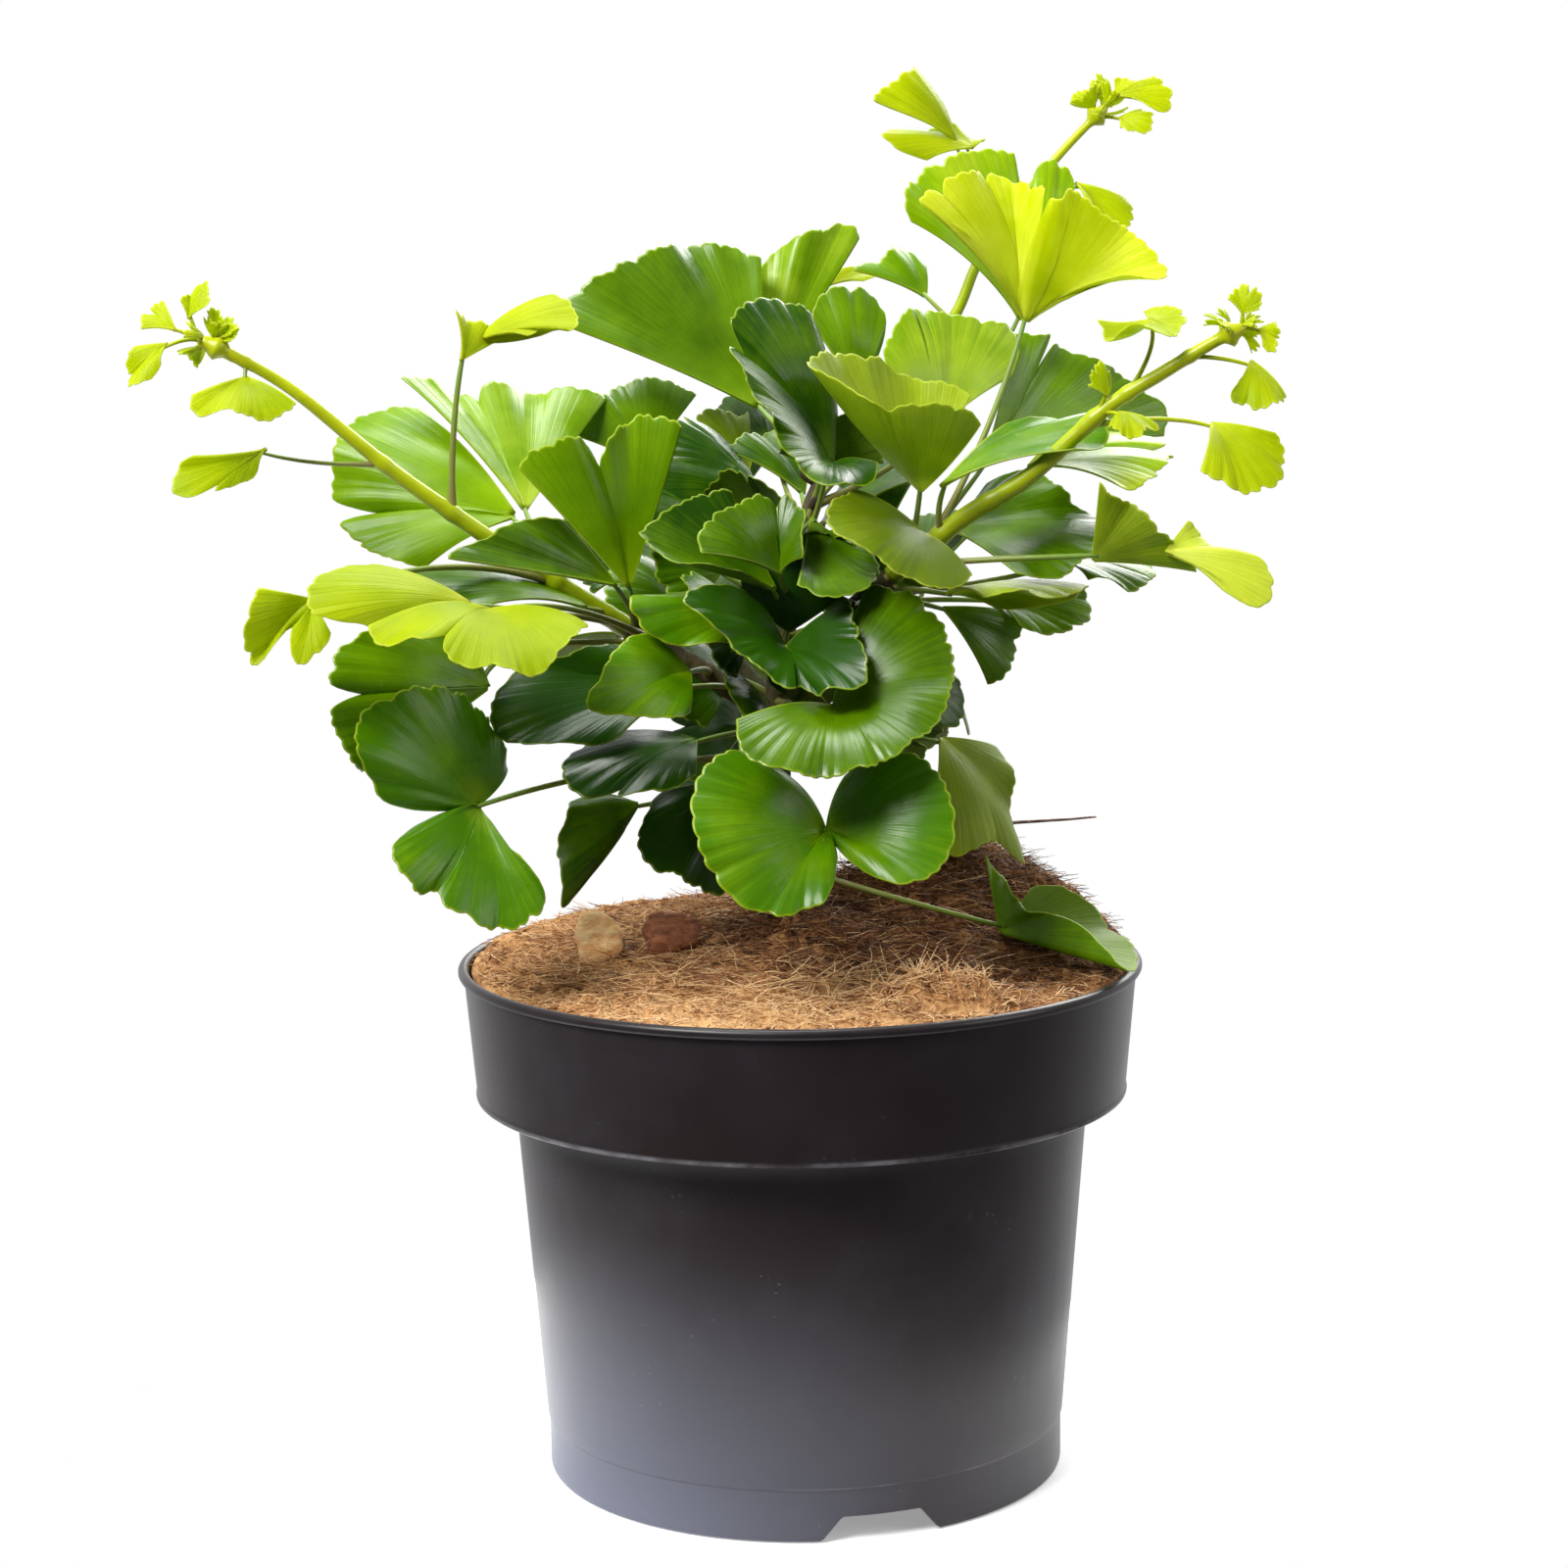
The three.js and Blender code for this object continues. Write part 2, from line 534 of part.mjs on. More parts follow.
    margin: [[46, -2, 342], [34, -2, 348], [38, 2, 354], [48, 10, 358], [55, 16, 359],
      [62, 16, 356], [67, 8, 354], [71, -8, 351], [75, -4, 353], [85, 2, 346], [94, 4, 340],
      [101, -2, 331], [90, -6, 329]],
    clefts: [[0.13, 0.08, 0.03], [0.27, 0.08, 0.03], [0.51, 0.6, 0.05]] },
  { name: "leaf_top_pale", green: "bright", stem: "shoot_top", at: 0.34, base: [39, 58, 324],
    margin: [[17, 52, 332], [26, 58, 336], [32, 64, 339], [39, 64, 333]] },
  { name: "leaf_grey_back", green: "dull", stem: "trunk", at: 0.86, base: [-13, 46, 274],
    margin: [[-27, 44, 286], [-26, 50, 293], [-18, 54, 292], [-9, 58, 293]] },

  // Right side
  { name: "leaf_right_high", green: "mature", stem: "branch_right", at: 0.9, base: [53, 22, 278],
    via: [38, 8, 258],
    margin: [[62, 32, 314], [72, 40, 313], [81, 44, 309], [96, 50, 300], [107, 50, 293],
      [109, 46, 285]], clefts: [[0.28, 0.28, 0.04]], bow: 0.04 },
  { name: "leaf_right_pale", green: "bright", stem: "shoot_right", at: 0.3, base: [63, -6, 278],
    margin: [[75, 16, 283], [88, 22, 285], [101, 16, 285], [104, 4, 281], [99, -12, 277],
      [88, -24, 274]], clefts: [[0.42, 0.3, 0.04]] },
  { name: "leaf_right_big", green: "mature", stem: "branch_right", at: 0.95, base: [43, 2, 261],
    margin: [[54, 10, 274], [66, 14, 276], [78, 8, 268], [90, -2, 261], [77, -20, 253],
      [60, -24, 250]], bow: 0.04 },
  { name: "leaf_right_young", green: "dull", stem: "shoot_right", at: 0.04, base: [78, -34, 255],
    via: [50, -34, 256],
    margin: [[107, -32, 252], [100, -36, 259], [86, -38, 271], [80, -38, 277]], bow: 0.02,
    lobes: [{ base: [97, -35, 257],
      margin: [[104, -30, 265], [111, -34, 256], [121, -38, 256], [125, -42, 250],
        [121, -46, 243], [112, -45, 247]] }] },
  { name: "leaf_right_slender", green: "mature", stem: "branch_right", at: 0.85,
    base: [72, 10, 251], via: [45, 4, 244],
    margin: [[100, 26, 249], [95, 0, 245], [80, -8, 248]], clefts: [[0.3, 0.3, 0.12]] },
  { name: "leaf_right_scalloped", green: "mature", stem: "branch_right", at: 0.7,
    base: [53, 12, 241], margin: [[81, 22, 244], [83, 16, 236], [74, 8, 231], [63, 2, 234]] },
  { name: "leaf_right_under", green: "dull", stem: "branch_right", at: 0.92, base: [40, -16, 245],
    margin: [[55, -10, 241], [79, -8, 244], [64, -30, 246], [50, -36, 247]] },
  { name: "leaf_right_hanging", green: "mature", stem: "branch_right", at: 0.8,
    base: [40, 2, 240], margin: [[60, 11, 238], [63, 10, 231], [60, 8, 223], [54, 4, 217]] },
  { name: "leaf_right_olive", green: "dull", stem: "trunk", at: 0.48, base: [40, 16, 202],
    margin: [[59, 30, 197], [61, 24, 180], [64, 14, 166], [53, 2, 173], [43, -6, 172],
      [36, -4, 179]], clefts: [[0.62, 0.12, 0.08]] },
  { name: "leaf_on_rim", green: "mature", stem: "trunk", at: 0.26, base: [55, -10, 151],
    via: [30, -14, 160],
    margin: [[51, -6, 173], [65, -18, 160], [85, -46, 147], [90, -22, 149], [87, -8, 152],
      [77, 2, 160], [65, 0, 162]], bow: 0 },

  // Middle of the crown
  { name: "leaf_heart", green: "mature", stem: "trunk", at: 0.72, base: [-4, -34, 252],
    margin: [[-25, -52, 260], [-23, -44, 268], [-16, -36, 271], [-4, -30, 274], [3, -38, 267],
      [1, -44, 258]], clefts: [[0.5, 0.2, 0.07]] },
  { name: "leaf_under_heart", green: "mature", stem: "trunk", at: 0.66, base: [-5, -22, 247],
    margin: [[-15, -46, 254], [-31, -42, 258], [-42, -32, 262], [-31, -24, 271],
      [-18, -16, 274]], bow: 0 },
  { name: "leaf_centre_hollow", green: "mature", stem: "trunk", at: 0.78, base: [4, -22, 267],
    margin: [[18, -26, 260], [22, -40, 252], [12, -52, 248], [0, -50, 250]], bow: -0.1 },
  { name: "leaf_turned_over", green: "dull", stem: "branch_right", at: 0.99, base: [34, -24, 262],
    margin: [[46, -46, 251], [37, -56, 250], [23, -58, 257], [11, -54, 263], [9, -44, 271],
      [16, -34, 275]] },
  { name: "leaf_centre_butterfly", green: "mature", stem: "trunk", at: 0.6, base: [-3, -36, 233],
    margin: [[15, -42, 246], [16, -52, 239], [17, -64, 228], [8, -66, 226], [5, -64, 223],
      [-7, -62, 227], [-17, -60, 237], [-24, -60, 245], [-28, -56, 250], [-11, -38, 246]],
    clefts: [[0.44, 0.15, 0.05]] },
  { name: "leaf_left_middle", green: "bright", stem: "trunk", at: 0.64, base: [-9, -24, 240],
    margin: [[-19, -46, 234], [-31, -52, 237], [-44, -52, 245], [-39, -40, 247],
      [-28, -28, 249]] },
  { name: "leaf_left_small", green: "bright", stem: "branch_left", at: 0.5, base: [-28, -44, 228],
    margin: [[-28, -54, 218], [-40, -62, 219], [-54, -66, 222], [-51, -60, 230],
      [-38, -48, 239]] },
  { name: "leaf_left_dark", green: "mature", stem: "branch_left", at: 0.35, base: [-29, -20, 221],
    margin: [[-48, -42, 209], [-66, -44, 209], [-81, -40, 215], [-74, -30, 228], [-58, -28, 233],
      [-44, -22, 233]] },
  { name: "leaf_lower_dark", green: "mature", stem: "trunk", at: 0.5, base: [-27, -24, 207],
    margin: [[-27, -44, 199], [-38, -52, 197], [-52, -54, 197], [-62, -48, 202], [-56, -32, 207],
      [-43, -20, 210]], clefts: [[0.34, 0.15, 0.05]] },
  { name: "leaf_low_hanging", green: "mature", stem: "trunk", at: 0.38, base: [-44, -4, 187],
    margin: [[-52, -12, 177], [-64, -20, 161], [-65, -20, 174], [-63, -12, 188],
      [-58, -6, 191]] },
  { name: "leaf_low_dark", green: "mature", stem: "trunk", at: 0.42, base: [-21, -6, 193],
    margin: [[-20, -18, 163], [-31, -24, 168], [-40, -26, 173], [-43, -24, 182],
      [-38, -14, 191]] },

  // Front
  { name: "leaf_front_great", green: "mature", stem: "trunk", at: 0.55, base: [9, -50, 219],
    margin: [[19, -36, 251], [34, -42, 246], [41, -52, 229], [35, -66, 215], [21, -76, 208],
      [4, -80, 206], [-12, -78, 210], [-17, -70, 218]], bow: 0.12 },
  { name: "leaf_front_butterfly", green: "bright", stem: "trunk", at: 0.4, base: [7, -56, 187],
    margin: [[12, -52, 202], [29, -58, 208], [40, -66, 194], [33, -76, 177], [17, -78, 176],
      [4, -82, 172], [-9, -84, 170], [-23, -82, 183], [-27, -74, 198], [-18, -64, 210],
      [-2, -56, 202]], clefts: [[0.48, 0.75, 0.07]], bow: 0.12 },
];

// Tip leaflets and back leaves are too close to their stem to part from it: each of these stems is
// one piece with its own leaves.
const growth = {
  shoot_left: [
    { base: [-157, -38, 321], stem: "shoot_left", at: 0.99, slim: 0.7,
      margin: [[-159, -38, 326], [-156, -36, 329], [-152, -36, 331], [-151, -40, 326],
        [-153, -42, 323]] },
    { base: [-160, -38, 318], stem: "shoot_left", at: 0.98, slim: 0.7,
      margin: [[-169, -40, 319], [-169, -36, 323], [-164, -34, 326]] },
    { base: [-162, -40, 315], stem: "shoot_left", at: 0.99, slim: 0.7,
      margin: [[-164, -44, 310], [-168, -46, 305], [-172, -44, 304], [-171, -40, 314]] },
    { base: [-148, -38, 315], stem: "shoot_left", at: 0.93, slim: 0.7,
      margin: [[-152, -34, 321], [-145, -36, 321], [-144, -40, 318], [-145, -42, 315]] },
  ],
  shoot_right: [
    { base: [93, -38, 318], stem: "shoot_right", at: 0.7, via: [96, -38, 312], slim: 0.7,
      margin: [[78, -44, 318], [81, -48, 312], [88, -50, 316], [100, -44, 315], [102, -36, 319],
        [92, -30, 321]] },
    { base: [116, -44, 319], stem: "shoot_right", at: 0.99, slim: 0.7,
      margin: [[112, -44, 323], [115, -42, 326], [119, -44, 327], [120, -46, 320]] },
    { base: [120, -44, 315], stem: "shoot_right", at: 0.98, slim: 0.7,
      margin: [[125, -42, 317], [125, -46, 312], [124, -48, 309], [121, -48, 311]] },
    { base: [119, -40, 307], stem: "shoot_right", at: 0.86, via: [113, -41, 308], slim: 0.7,
      margin: [[128, -46, 298], [123, -50, 295], [118, -52, 295], [112, -50, 299],
        [116, -46, 304]] },
    { base: [109, -36, 291], stem: "shoot_right", at: 0.58, via: [98, -36, 294], slim: 0.8,
      margin: [[126, -40, 288], [126, -48, 276], [114, -54, 274], [104, -54, 279]] },
    { base: [82, -36, 298], stem: "shoot_right", at: 0.6, slim: 0.7,
      margin: [[77, -38, 301], [78, -36, 306], [82, -34, 307], [83, -34, 301]] },
    { base: [85, -38, 294], stem: "shoot_right", at: 0.61, slim: 0.7,
      margin: [[95, -44, 291], [89, -50, 288], [84, -50, 289], [81, -46, 290]] },
  ],
  shoot_top: [
    { base: [93, 55, 380], stem: "shoot_top", at: 0.98, slim: 0.7,
      margin: [[93, 58, 385], [101, 58, 385], [105, 60, 386], [109, 58, 382], [108, 54, 376],
        [103, 52, 378]] },
    { base: [94, 54, 374], stem: "shoot_top", at: 0.95, slim: 0.7,
      margin: [[101, 56, 377], [104, 52, 373], [98, 48, 369], [94, 50, 371]] },
    { base: [90, 56, 380], stem: "shoot_top", at: 0.985, slim: 0.7,
      margin: [[86, 54, 380], [86, 56, 383], [87, 58, 387], [92, 60, 385]] },
    { base: [81, 50, 356], stem: "shoot_top", at: 0.66, slim: 0.7,
      margin: [[97, 50, 351], [96, 46, 343], [88, 42, 345], [83, 42, 350]] },
    { base: [48, 49, 366], stem: "shoot_top", at: 0.55, via: [56, 52, 352], slim: 0.7,
      waist: 0.8, margin: [[22, 36, 379], [29, 40, 384], [36, 48, 389], [40, 54, 382]] },
    { base: [52, 51, 366], stem: "shoot_top", at: 0.57, slim: 0.7, via: [57, 52, 354],
      margin: [[38, 40, 362], [27, 38, 367], [27, 42, 371], [37, 50, 372], [50, 56, 370],
        [56, 54, 368]] },
  ],
  spray_left: [
    { base: [-38, 60, 246], stem: "spray_left", at: 0.95,
      margin: [[-68, 58, 262], [-62, 78, 262], [-44, 90, 256], [-24, 84, 248]] },
    { base: [-50, 56, 228], stem: "spray_left", at: 0.85,
      margin: [[-72, 42, 226], [-78, 56, 218], [-72, 74, 212], [-54, 80, 214]] },
    { base: [-26, 66, 222], stem: "spray_left", at: 0.75,
      margin: [[-44, 84, 204], [-26, 92, 196], [-8, 88, 202], [0, 76, 214]] },
    { base: [-24, 48, 258], stem: "spray_left", at: 0.7,
      margin: [[-40, 52, 282], [-24, 66, 288], [-6, 72, 280]] },
  ],
  spray_right: [
    { base: [38, 64, 238], stem: "spray_right", at: 0.95,
      margin: [[20, 84, 252], [36, 92, 258], [52, 84, 262], [62, 66, 262]] },
    { base: [40, 66, 214], stem: "spray_right", at: 0.85,
      margin: [[26, 88, 222], [36, 96, 212], [50, 90, 200], [52, 74, 194]] },
    { base: [24, 62, 208], stem: "spray_right", at: 0.7,
      margin: [[2, 80, 192], [20, 92, 184], [40, 88, 188], [46, 74, 198]] },
    { base: [26, 52, 256], stem: "spray_right", at: 0.6,
      margin: [[6, 66, 276], [22, 76, 286], [42, 70, 280]] },
  ],
};

// Every stem as one solid, each radius made larger by `extra`.
const STEM_RADII = {
  trunk: [TRUNK.radius - 0.5, 2.4],
  branch_left: [3.4, 2.8],
  branch_right: [3.4, 2.8],
  branch_top: [2.4, 2.2],
  shoot_left: [2.9, 1.4],
  shoot_right: [2.9, 1.6],
  shoot_top: [2.0, 1.2],
  spray_left: [2.2, 1.4],
  spray_right: [2.2, 1.4],
};
const WOODY = ["trunk", "branch_left", "branch_right", "branch_top"];

function stemSolid(name, extra) {
  const [startRadius, endRadius] = STEM_RADII[name];
  const steps = WOODY.includes(name) ? 5 : 8;
  return tube(stems[name], startRadius + extra, endRadius + extra, steps, 7);
}
const joined = (solids) => solids.reduce((sum, piece) => sum.add(piece));

addNode("trunk", joined(WOODY.map((name) => stemSolid(name, 0))), WOOD);
const woodWithGap = joined(WOODY.map((name) => stemSolid(name, GAP)));

for (const [name, parts] of Object.entries(growth)) {
  const made = joined([stemSolid(name, 0), ...parts.map((part) => leafSolid(part))]);
  const look = name.startsWith("spray") ? leafLook("mature") : SHOOT;
  addNode(name, largest(made.subtract(woodWithGap)), look);
}

const twig = line([-4, 8, 176], [29, 22, 174], [62, 35, 174], [87, 45, 174]);
const twigTube = tube(twig, TWIG.startRadius, TWIG.endRadius, 6, 6);
addNode("dry_twig", largest(twigTube.subtract(woodWithGap)), WOOD);

const growthWithGap = Object.keys(growth).map((name) => stemSolid(name, GAP));
const stemsWithGap = joined([woodWithGap, ...growthWithGap]);
for (const leaf of leaves)
  addNode(leaf.name, largest(leafSolid(leaf).subtract(stemsWithGap)), leafLook(leaf.green));

export default plant;
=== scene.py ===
import math

import bpy
import numpy as np
from mathutils import Matrix, Vector, noise


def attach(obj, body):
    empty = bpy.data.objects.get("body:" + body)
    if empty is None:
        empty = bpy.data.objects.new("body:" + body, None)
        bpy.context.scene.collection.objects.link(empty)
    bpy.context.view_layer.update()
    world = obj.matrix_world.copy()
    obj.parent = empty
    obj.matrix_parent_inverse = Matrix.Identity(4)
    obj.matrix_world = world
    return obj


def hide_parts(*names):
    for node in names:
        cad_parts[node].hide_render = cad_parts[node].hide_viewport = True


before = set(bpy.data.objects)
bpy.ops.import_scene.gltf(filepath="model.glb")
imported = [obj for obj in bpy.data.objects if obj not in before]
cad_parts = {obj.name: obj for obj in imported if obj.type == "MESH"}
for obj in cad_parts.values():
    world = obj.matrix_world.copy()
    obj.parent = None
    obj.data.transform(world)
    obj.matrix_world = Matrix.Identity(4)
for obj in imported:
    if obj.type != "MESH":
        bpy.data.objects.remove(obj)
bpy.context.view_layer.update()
scene = bpy.context.scene
scene.view_settings.view_transform = "Standard"

# ---- Camera: a long lens just under a metre in front of the plant, level with its upper leaves,
# looking a little down and very slightly rolled.
SENSOR_WIDTH = 36
LENS = 75.97
CAMERA_PLACE = (-0.0038, -0.9061, 0.3254)
LOOK_DOWN = 8.407  # degrees below level
ROLL = -0.725

camera_data = bpy.data.cameras.new("camera")
camera_data.sensor_width = SENSOR_WIDTH
camera_data.lens = LENS
camera = bpy.data.objects.new("camera", camera_data)
scene.collection.objects.link(camera)
look_down = Matrix.Rotation(math.radians(90 - LOOK_DOWN), 4, "X")
roll = Matrix.Rotation(math.radians(ROLL), 4, "Z")
camera.matrix_world = Matrix.Translation(CAMERA_PLACE) @ look_down @ roll
scene.camera = camera


# ---- Nursery pot: one injection-moulded shell of near-black polypropylene with a deep rim band,
# a rolled lip, a fine step above the foot, three notches in the foot and drain holes in the floor.
# The plastic is satin, with faint moulding grain and scuffs. Low down and on the left it is
# lightened bluish grey, partly by a film of dust and partly by a painted reflection of the bright
# floor and the light on the left, and a thin light line of dust and painted highlight runs round
# two edges.
def srgb(red, green, blue, alpha=1.0):
    """A colour given as 0 to 255 values, as the linear colour that a shader takes."""
    def linear(v):
        v /= 255
        return v / 12.92 if v <= 0.04045 else ((v + 0.055) / 1.055) ** 2.4
    return (linear(red), linear(green), linear(blue), alpha)


def add_node(tree, kind, inputs=None, **settings):
    """A shader node whose inputs are numbers, colours or other nodes' outputs."""
    made = tree.nodes.new("ShaderNode" + kind)
    for key, value in settings.items():
        setattr(made, key, value)
    for key, value in (inputs or {}).items():
        if isinstance(value, bpy.types.NodeSocket):
            tree.links.new(value, made.inputs[key])
        else:
            made.inputs[key].default_value = value
    return made


def math_of(tree, operation, *values):
    """The result of a sum on numbers or other nodes' outputs."""
    made = add_node(tree, "Math", dict(enumerate(values)), operation=operation)
    return made.outputs[0]


def mask_of(tree, factor, low, high):
    """0 below low and 1 above high, with an even slope between."""
    made = add_node(tree, "MapRange", {"Value": factor, "From Min": low, "From Max": high})
    return made.outputs["Result"]


def layered(tree, factor, under, over):
    """One colour laid over another, as far as the factor says."""
    made = add_node(tree, "Mix", {0: factor, 6: under, 7: over}, data_type="RGBA")
    return made.outputs[2]


def noise_of(tree, vector, scale, detail=3.0, roughness=0.55):
    """Cloudy noise from 0 to 1, with scale features to the metre."""
    made = add_node(
        tree, "TexNoise",
        {"Vector": vector, "Scale": scale, "Detail": detail, "Roughness": roughness},
    )
    return made.outputs["Fac"]


def stretched(tree, vector, scale):
    """A place with each direction scaled, so that noise draws out where the scale is small."""
    return add_node(tree, "Mapping", {"Vector": vector, "Scale": scale}).outputs["Vector"]


def bumped(tree, height, distance, strength=1.0, under=None):
    """Relief as deep as distance in metres, on top of another relief if one is given."""
    inputs = {"Height": height, "Distance": distance, "Strength": strength}
    if under is not None:
        inputs["Normal"] = under
    return add_node(tree, "Bump", inputs).outputs["Normal"]


def new_skin(name):
    """A material, its node tree, its main shader and the place on the object in metres."""
    skin = bpy.data.materials.new(name)
    skin.use_nodes = True
    tree = skin.node_tree
    shader = tree.nodes["Principled BSDF"]
    place = add_node(tree, "TexCoord").outputs["Object"]
    return skin, tree, shader, place


def add_piece(name, points, faces, skins, slot, stands_for=(), face_skins=None, **values):
    """A piece from points in millimetres, in place of the frame's nodes that it stands for. Each
    of values is one number for each point."""
    mesh = bpy.data.meshes.new(name)
    mesh.from_pydata((np.asarray(points, float) * 0.001).tolist(), [], faces)
    for key, numbers in values.items():
        layer = mesh.attributes.new(key, "FLOAT", "POINT")
        layer.data.foreach_set("value", np.asarray(numbers, np.float32))
    for skin in skins:
        mesh.materials.append(skin)
    if face_skins is not None:
        mesh.polygons.foreach_set("material_index", np.asarray(face_skins, np.int32))
    mesh.shade_smooth()
    mesh.update()
    piece = bpy.data.objects.new(name, mesh)
    scene.collection.objects.link(piece)
    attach(piece, "root")
    if stands_for:
        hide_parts(*stands_for)
    return piece


LIP_CENTRE = (93.5, 141.5)
LIP_RADIUS = 1.5
WALL = 1.6
FOOT_RADIUS = 72.35
FLOOR_Z = 7
PAD_RADIUS = 12
# Radius and height where the tapered body starts, how far it goes out and up, and in how many
# steps, and the same for the outside of the rim band.
BODY_FOOT = (72.95, 14.8)
BODY_RUN = (7.05, 90.4)
BODY_STEPS = 14
BAND_FOOT = (90.6, 108.6)
BAND_RUN = (2.75, 31.4)
BAND_STEPS = 6
NOTCH_AZIMUTHS = (-74, 46, 166)
NOTCH_FOOT = 33  # width of a notch at the foot, at its top, and its height
NOTCH_TOP = 22
NOTCH_HEIGHT = 6.5
DRAIN_COUNT = 6
DRAIN_RING = 52
DRAIN_RADIUS = 4.5
# In metres: how high the dust and the painted reflection of the bright floor reach, where across
# the pot they start and are thickest (towards the lit left side), and the heights of the two edges
# with a light line of dust and painted highlight.
SHEEN_AND_DUST_TOP = 0.085
SHEEN_AND_DUST_ACROSS = (0.03, -0.072)
DUSTY_HIGHLIGHT_BAND = 0.1068
DUSTY_HIGHLIGHT_STEP = 0.0144

notch_outer = math.degrees(NOTCH_FOOT / 2 / FOOT_RADIUS)
notch_inner = math.degrees(NOTCH_TOP / 2 / FOOT_RADIUS)
turns = set(np.arange(0, 360, 2.0))
for azimuth in NOTCH_AZIMUTHS:
    for side in (-1, 1):
        for corner in (notch_outer, notch_inner):
            for near in (-0.35, 0.35):
                turns.add((azimuth + side * (corner + near)) % 360)
turns = np.radians(sorted(turns))


def foot_edge(angle):
    """Height of the foot's lower edge at an angle round the pot."""
    height = 0.0
    for azimuth in NOTCH_AZIMUTHS:
        away = abs((math.degrees(angle) - azimuth + 180) % 360 - 180)
        rise = min(1.0, max(0.0, (notch_outer - away) / (notch_outer - notch_inner)))
        height = max(height, NOTCH_HEIGHT * rise)
    return height


def tapered(start, run, steps):
    """Outline points along a straight taper, after its start."""
    return [(start[0] + run[0] * k / steps, start[1] + run[1] * k / steps, 0)
            for k in range(1, steps + 1)]


# The outline runs from the middle of the underside, over the foot, band and lip, and down inside.
# The third number says how far the point follows the notches: 1 at the foot's edge.
outline = [(PAD_RADIUS - 11, 0, 0), (PAD_RADIUS - 0.6, 0, 0), (PAD_RADIUS, 0.6, 0),
           (PAD_RADIUS, FLOOR_Z - 0.8, 0), (PAD_RADIUS + 0.8, FLOOR_Z, 0),
           (FOOT_RADIUS - WALL - 0.8, FLOOR_Z, 0), (FOOT_RADIUS - WALL, FLOOR_Z - 0.3, 0)]
outline += [(FOOT_RADIUS - WALL, 0.35, 1), (FOOT_RADIUS - WALL + 0.3, 0, 1)]
outline += [(FOOT_RADIUS - 0.45, 0, 1), (FOOT_RADIUS - 0.12, 0.12, 1), (FOOT_RADIUS, 0.45, 1)]
outline += [(FOOT_RADIUS + 0.02, 3, 0.8), (FOOT_RADIUS + 0.03, 6.7, 0.12),
            (FOOT_RADIUS + 0.05, 10, 0), (72.4, 13.8, 0), (72.45, 14.15, 0), (72.8, 14.4, 0),
            (*BODY_FOOT, 0)]
outline += tapered(BODY_FOOT, BODY_RUN, BODY_STEPS)
outline += [(80.3, 105.75, 0), (81.2, 106, 0), (85, 106, 0), (89.4, 106, 0), (90.2, 106.1, 0),
            (90.75, 106.5, 0), (90.85, 107.1, 0), (90.6, 107.7, 0), (*BAND_FOOT, 0)]
outline += tapered(BAND_FOOT, BAND_RUN, BAND_STEPS)
for k in range(9):
    angle = math.radians(-45 + 235 * k / 8)
    outline.append((LIP_CENTRE[0] + LIP_RADIUS * math.cos(angle),
                    LIP_CENTRE[1] + LIP_RADIUS * math.sin(angle), 0))
outline += [(91.4, 138, 0), (89.1, 109.5, 0), (88.6, 108, 0), (79, 106.7, 0), (78.2, 105.6, 0),
            (71.4, 9.4, 0), (70.6, 8.6, 0), (PAD_RADIUS - 11, FLOOR_Z + WALL, 0)]
points, faces = [], []
for angle in turns:
    edge = foot_edge(angle)
    for r, z, follow in outline:
        points.append((r * math.cos(angle), r * math.sin(angle), z + follow * edge))
count, rows = len(turns), len(outline)
for i in range(count):
    a, b = i * rows, ((i + 1) % count) * rows
    for j in range(rows - 1):
        faces.append((a + j, b + j, b + j + 1, a + j + 1))
faces.append([i * rows for i in range(count)][::-1])
faces.append([i * rows + rows - 1 for i in range(count)])

plastic, tree, shader, place = new_skin("black_polypropylene")
height = add_node(tree, "SeparateXYZ", {"Vector": place}).outputs["Z"]
across = add_node(tree, "SeparateXYZ", {"Vector": place}).outputs["X"]
# Lighter and bluish low down and towards the left: partly a film of dust, partly a painted
# reflection of the bright floor and the light on the left.
low = math_of(tree, "POWER", mask_of(tree, height, SHEEN_AND_DUST_TOP, 0.0), 1.4)
left = mask_of(tree, across, *SHEEN_AND_DUST_ACROSS)
film = noise_of(tree, place, 28.0, 5.0, 0.6)
dust_and_sheen = math_of(tree, "MULTIPLY", low, math_of(tree, "ADD", math_of(tree, "MULTIPLY", left, 0.8),
                                              0.06))
dust_and_sheen = math_of(tree, "ADD", dust_and_sheen, math_of(tree, "MULTIPLY", mask_of(tree, film, 0.45, 0.8), 0.05))
body = layered(tree, dust_and_sheen, srgb(34, 27, 28), srgb(122, 127, 147))
specks = add_node(tree, "TexVoronoi", {"Vector": place, "Scale": 420.0}).outputs["Distance"]
sparse = mask_of(tree, noise_of(tree, place, 55.0, 2.0), 0.6, 0.66)
specks = math_of(tree, "MULTIPLY", mask_of(tree, specks, 0.16, 0.08), sparse)
body = layered(tree, math_of(tree, "MULTIPLY", specks, 0.3), body, srgb(140, 136, 135))
# A thin light line round the band's lower edge and the step above the foot: a painted highlight on
# these edges, with some dust.
dusty_highlight = math_of(tree, "ABSOLUTE", math_of(tree, "SUBTRACT", height, DUSTY_HIGHLIGHT_BAND))
dusty_highlight = mask_of(tree, dusty_highlight, 0.0009, 0.0003)
step = math_of(tree, "ABSOLUTE", math_of(tree, "SUBTRACT", height, DUSTY_HIGHLIGHT_STEP))
step = math_of(tree, "MULTIPLY", mask_of(tree, step, 0.0005, 0.0001), 0.5)
dusty_highlight = math_of(tree, "MULTIPLY", math_of(tree, "MAXIMUM", dusty_highlight, step),
               mask_of(tree, noise_of(tree, place, 45.0, 4.0, 0.7), 0.38, 0.62))
body = layered(tree, math_of(tree, "MULTIPLY", dusty_highlight, 0.7), body, srgb(128, 126, 132))
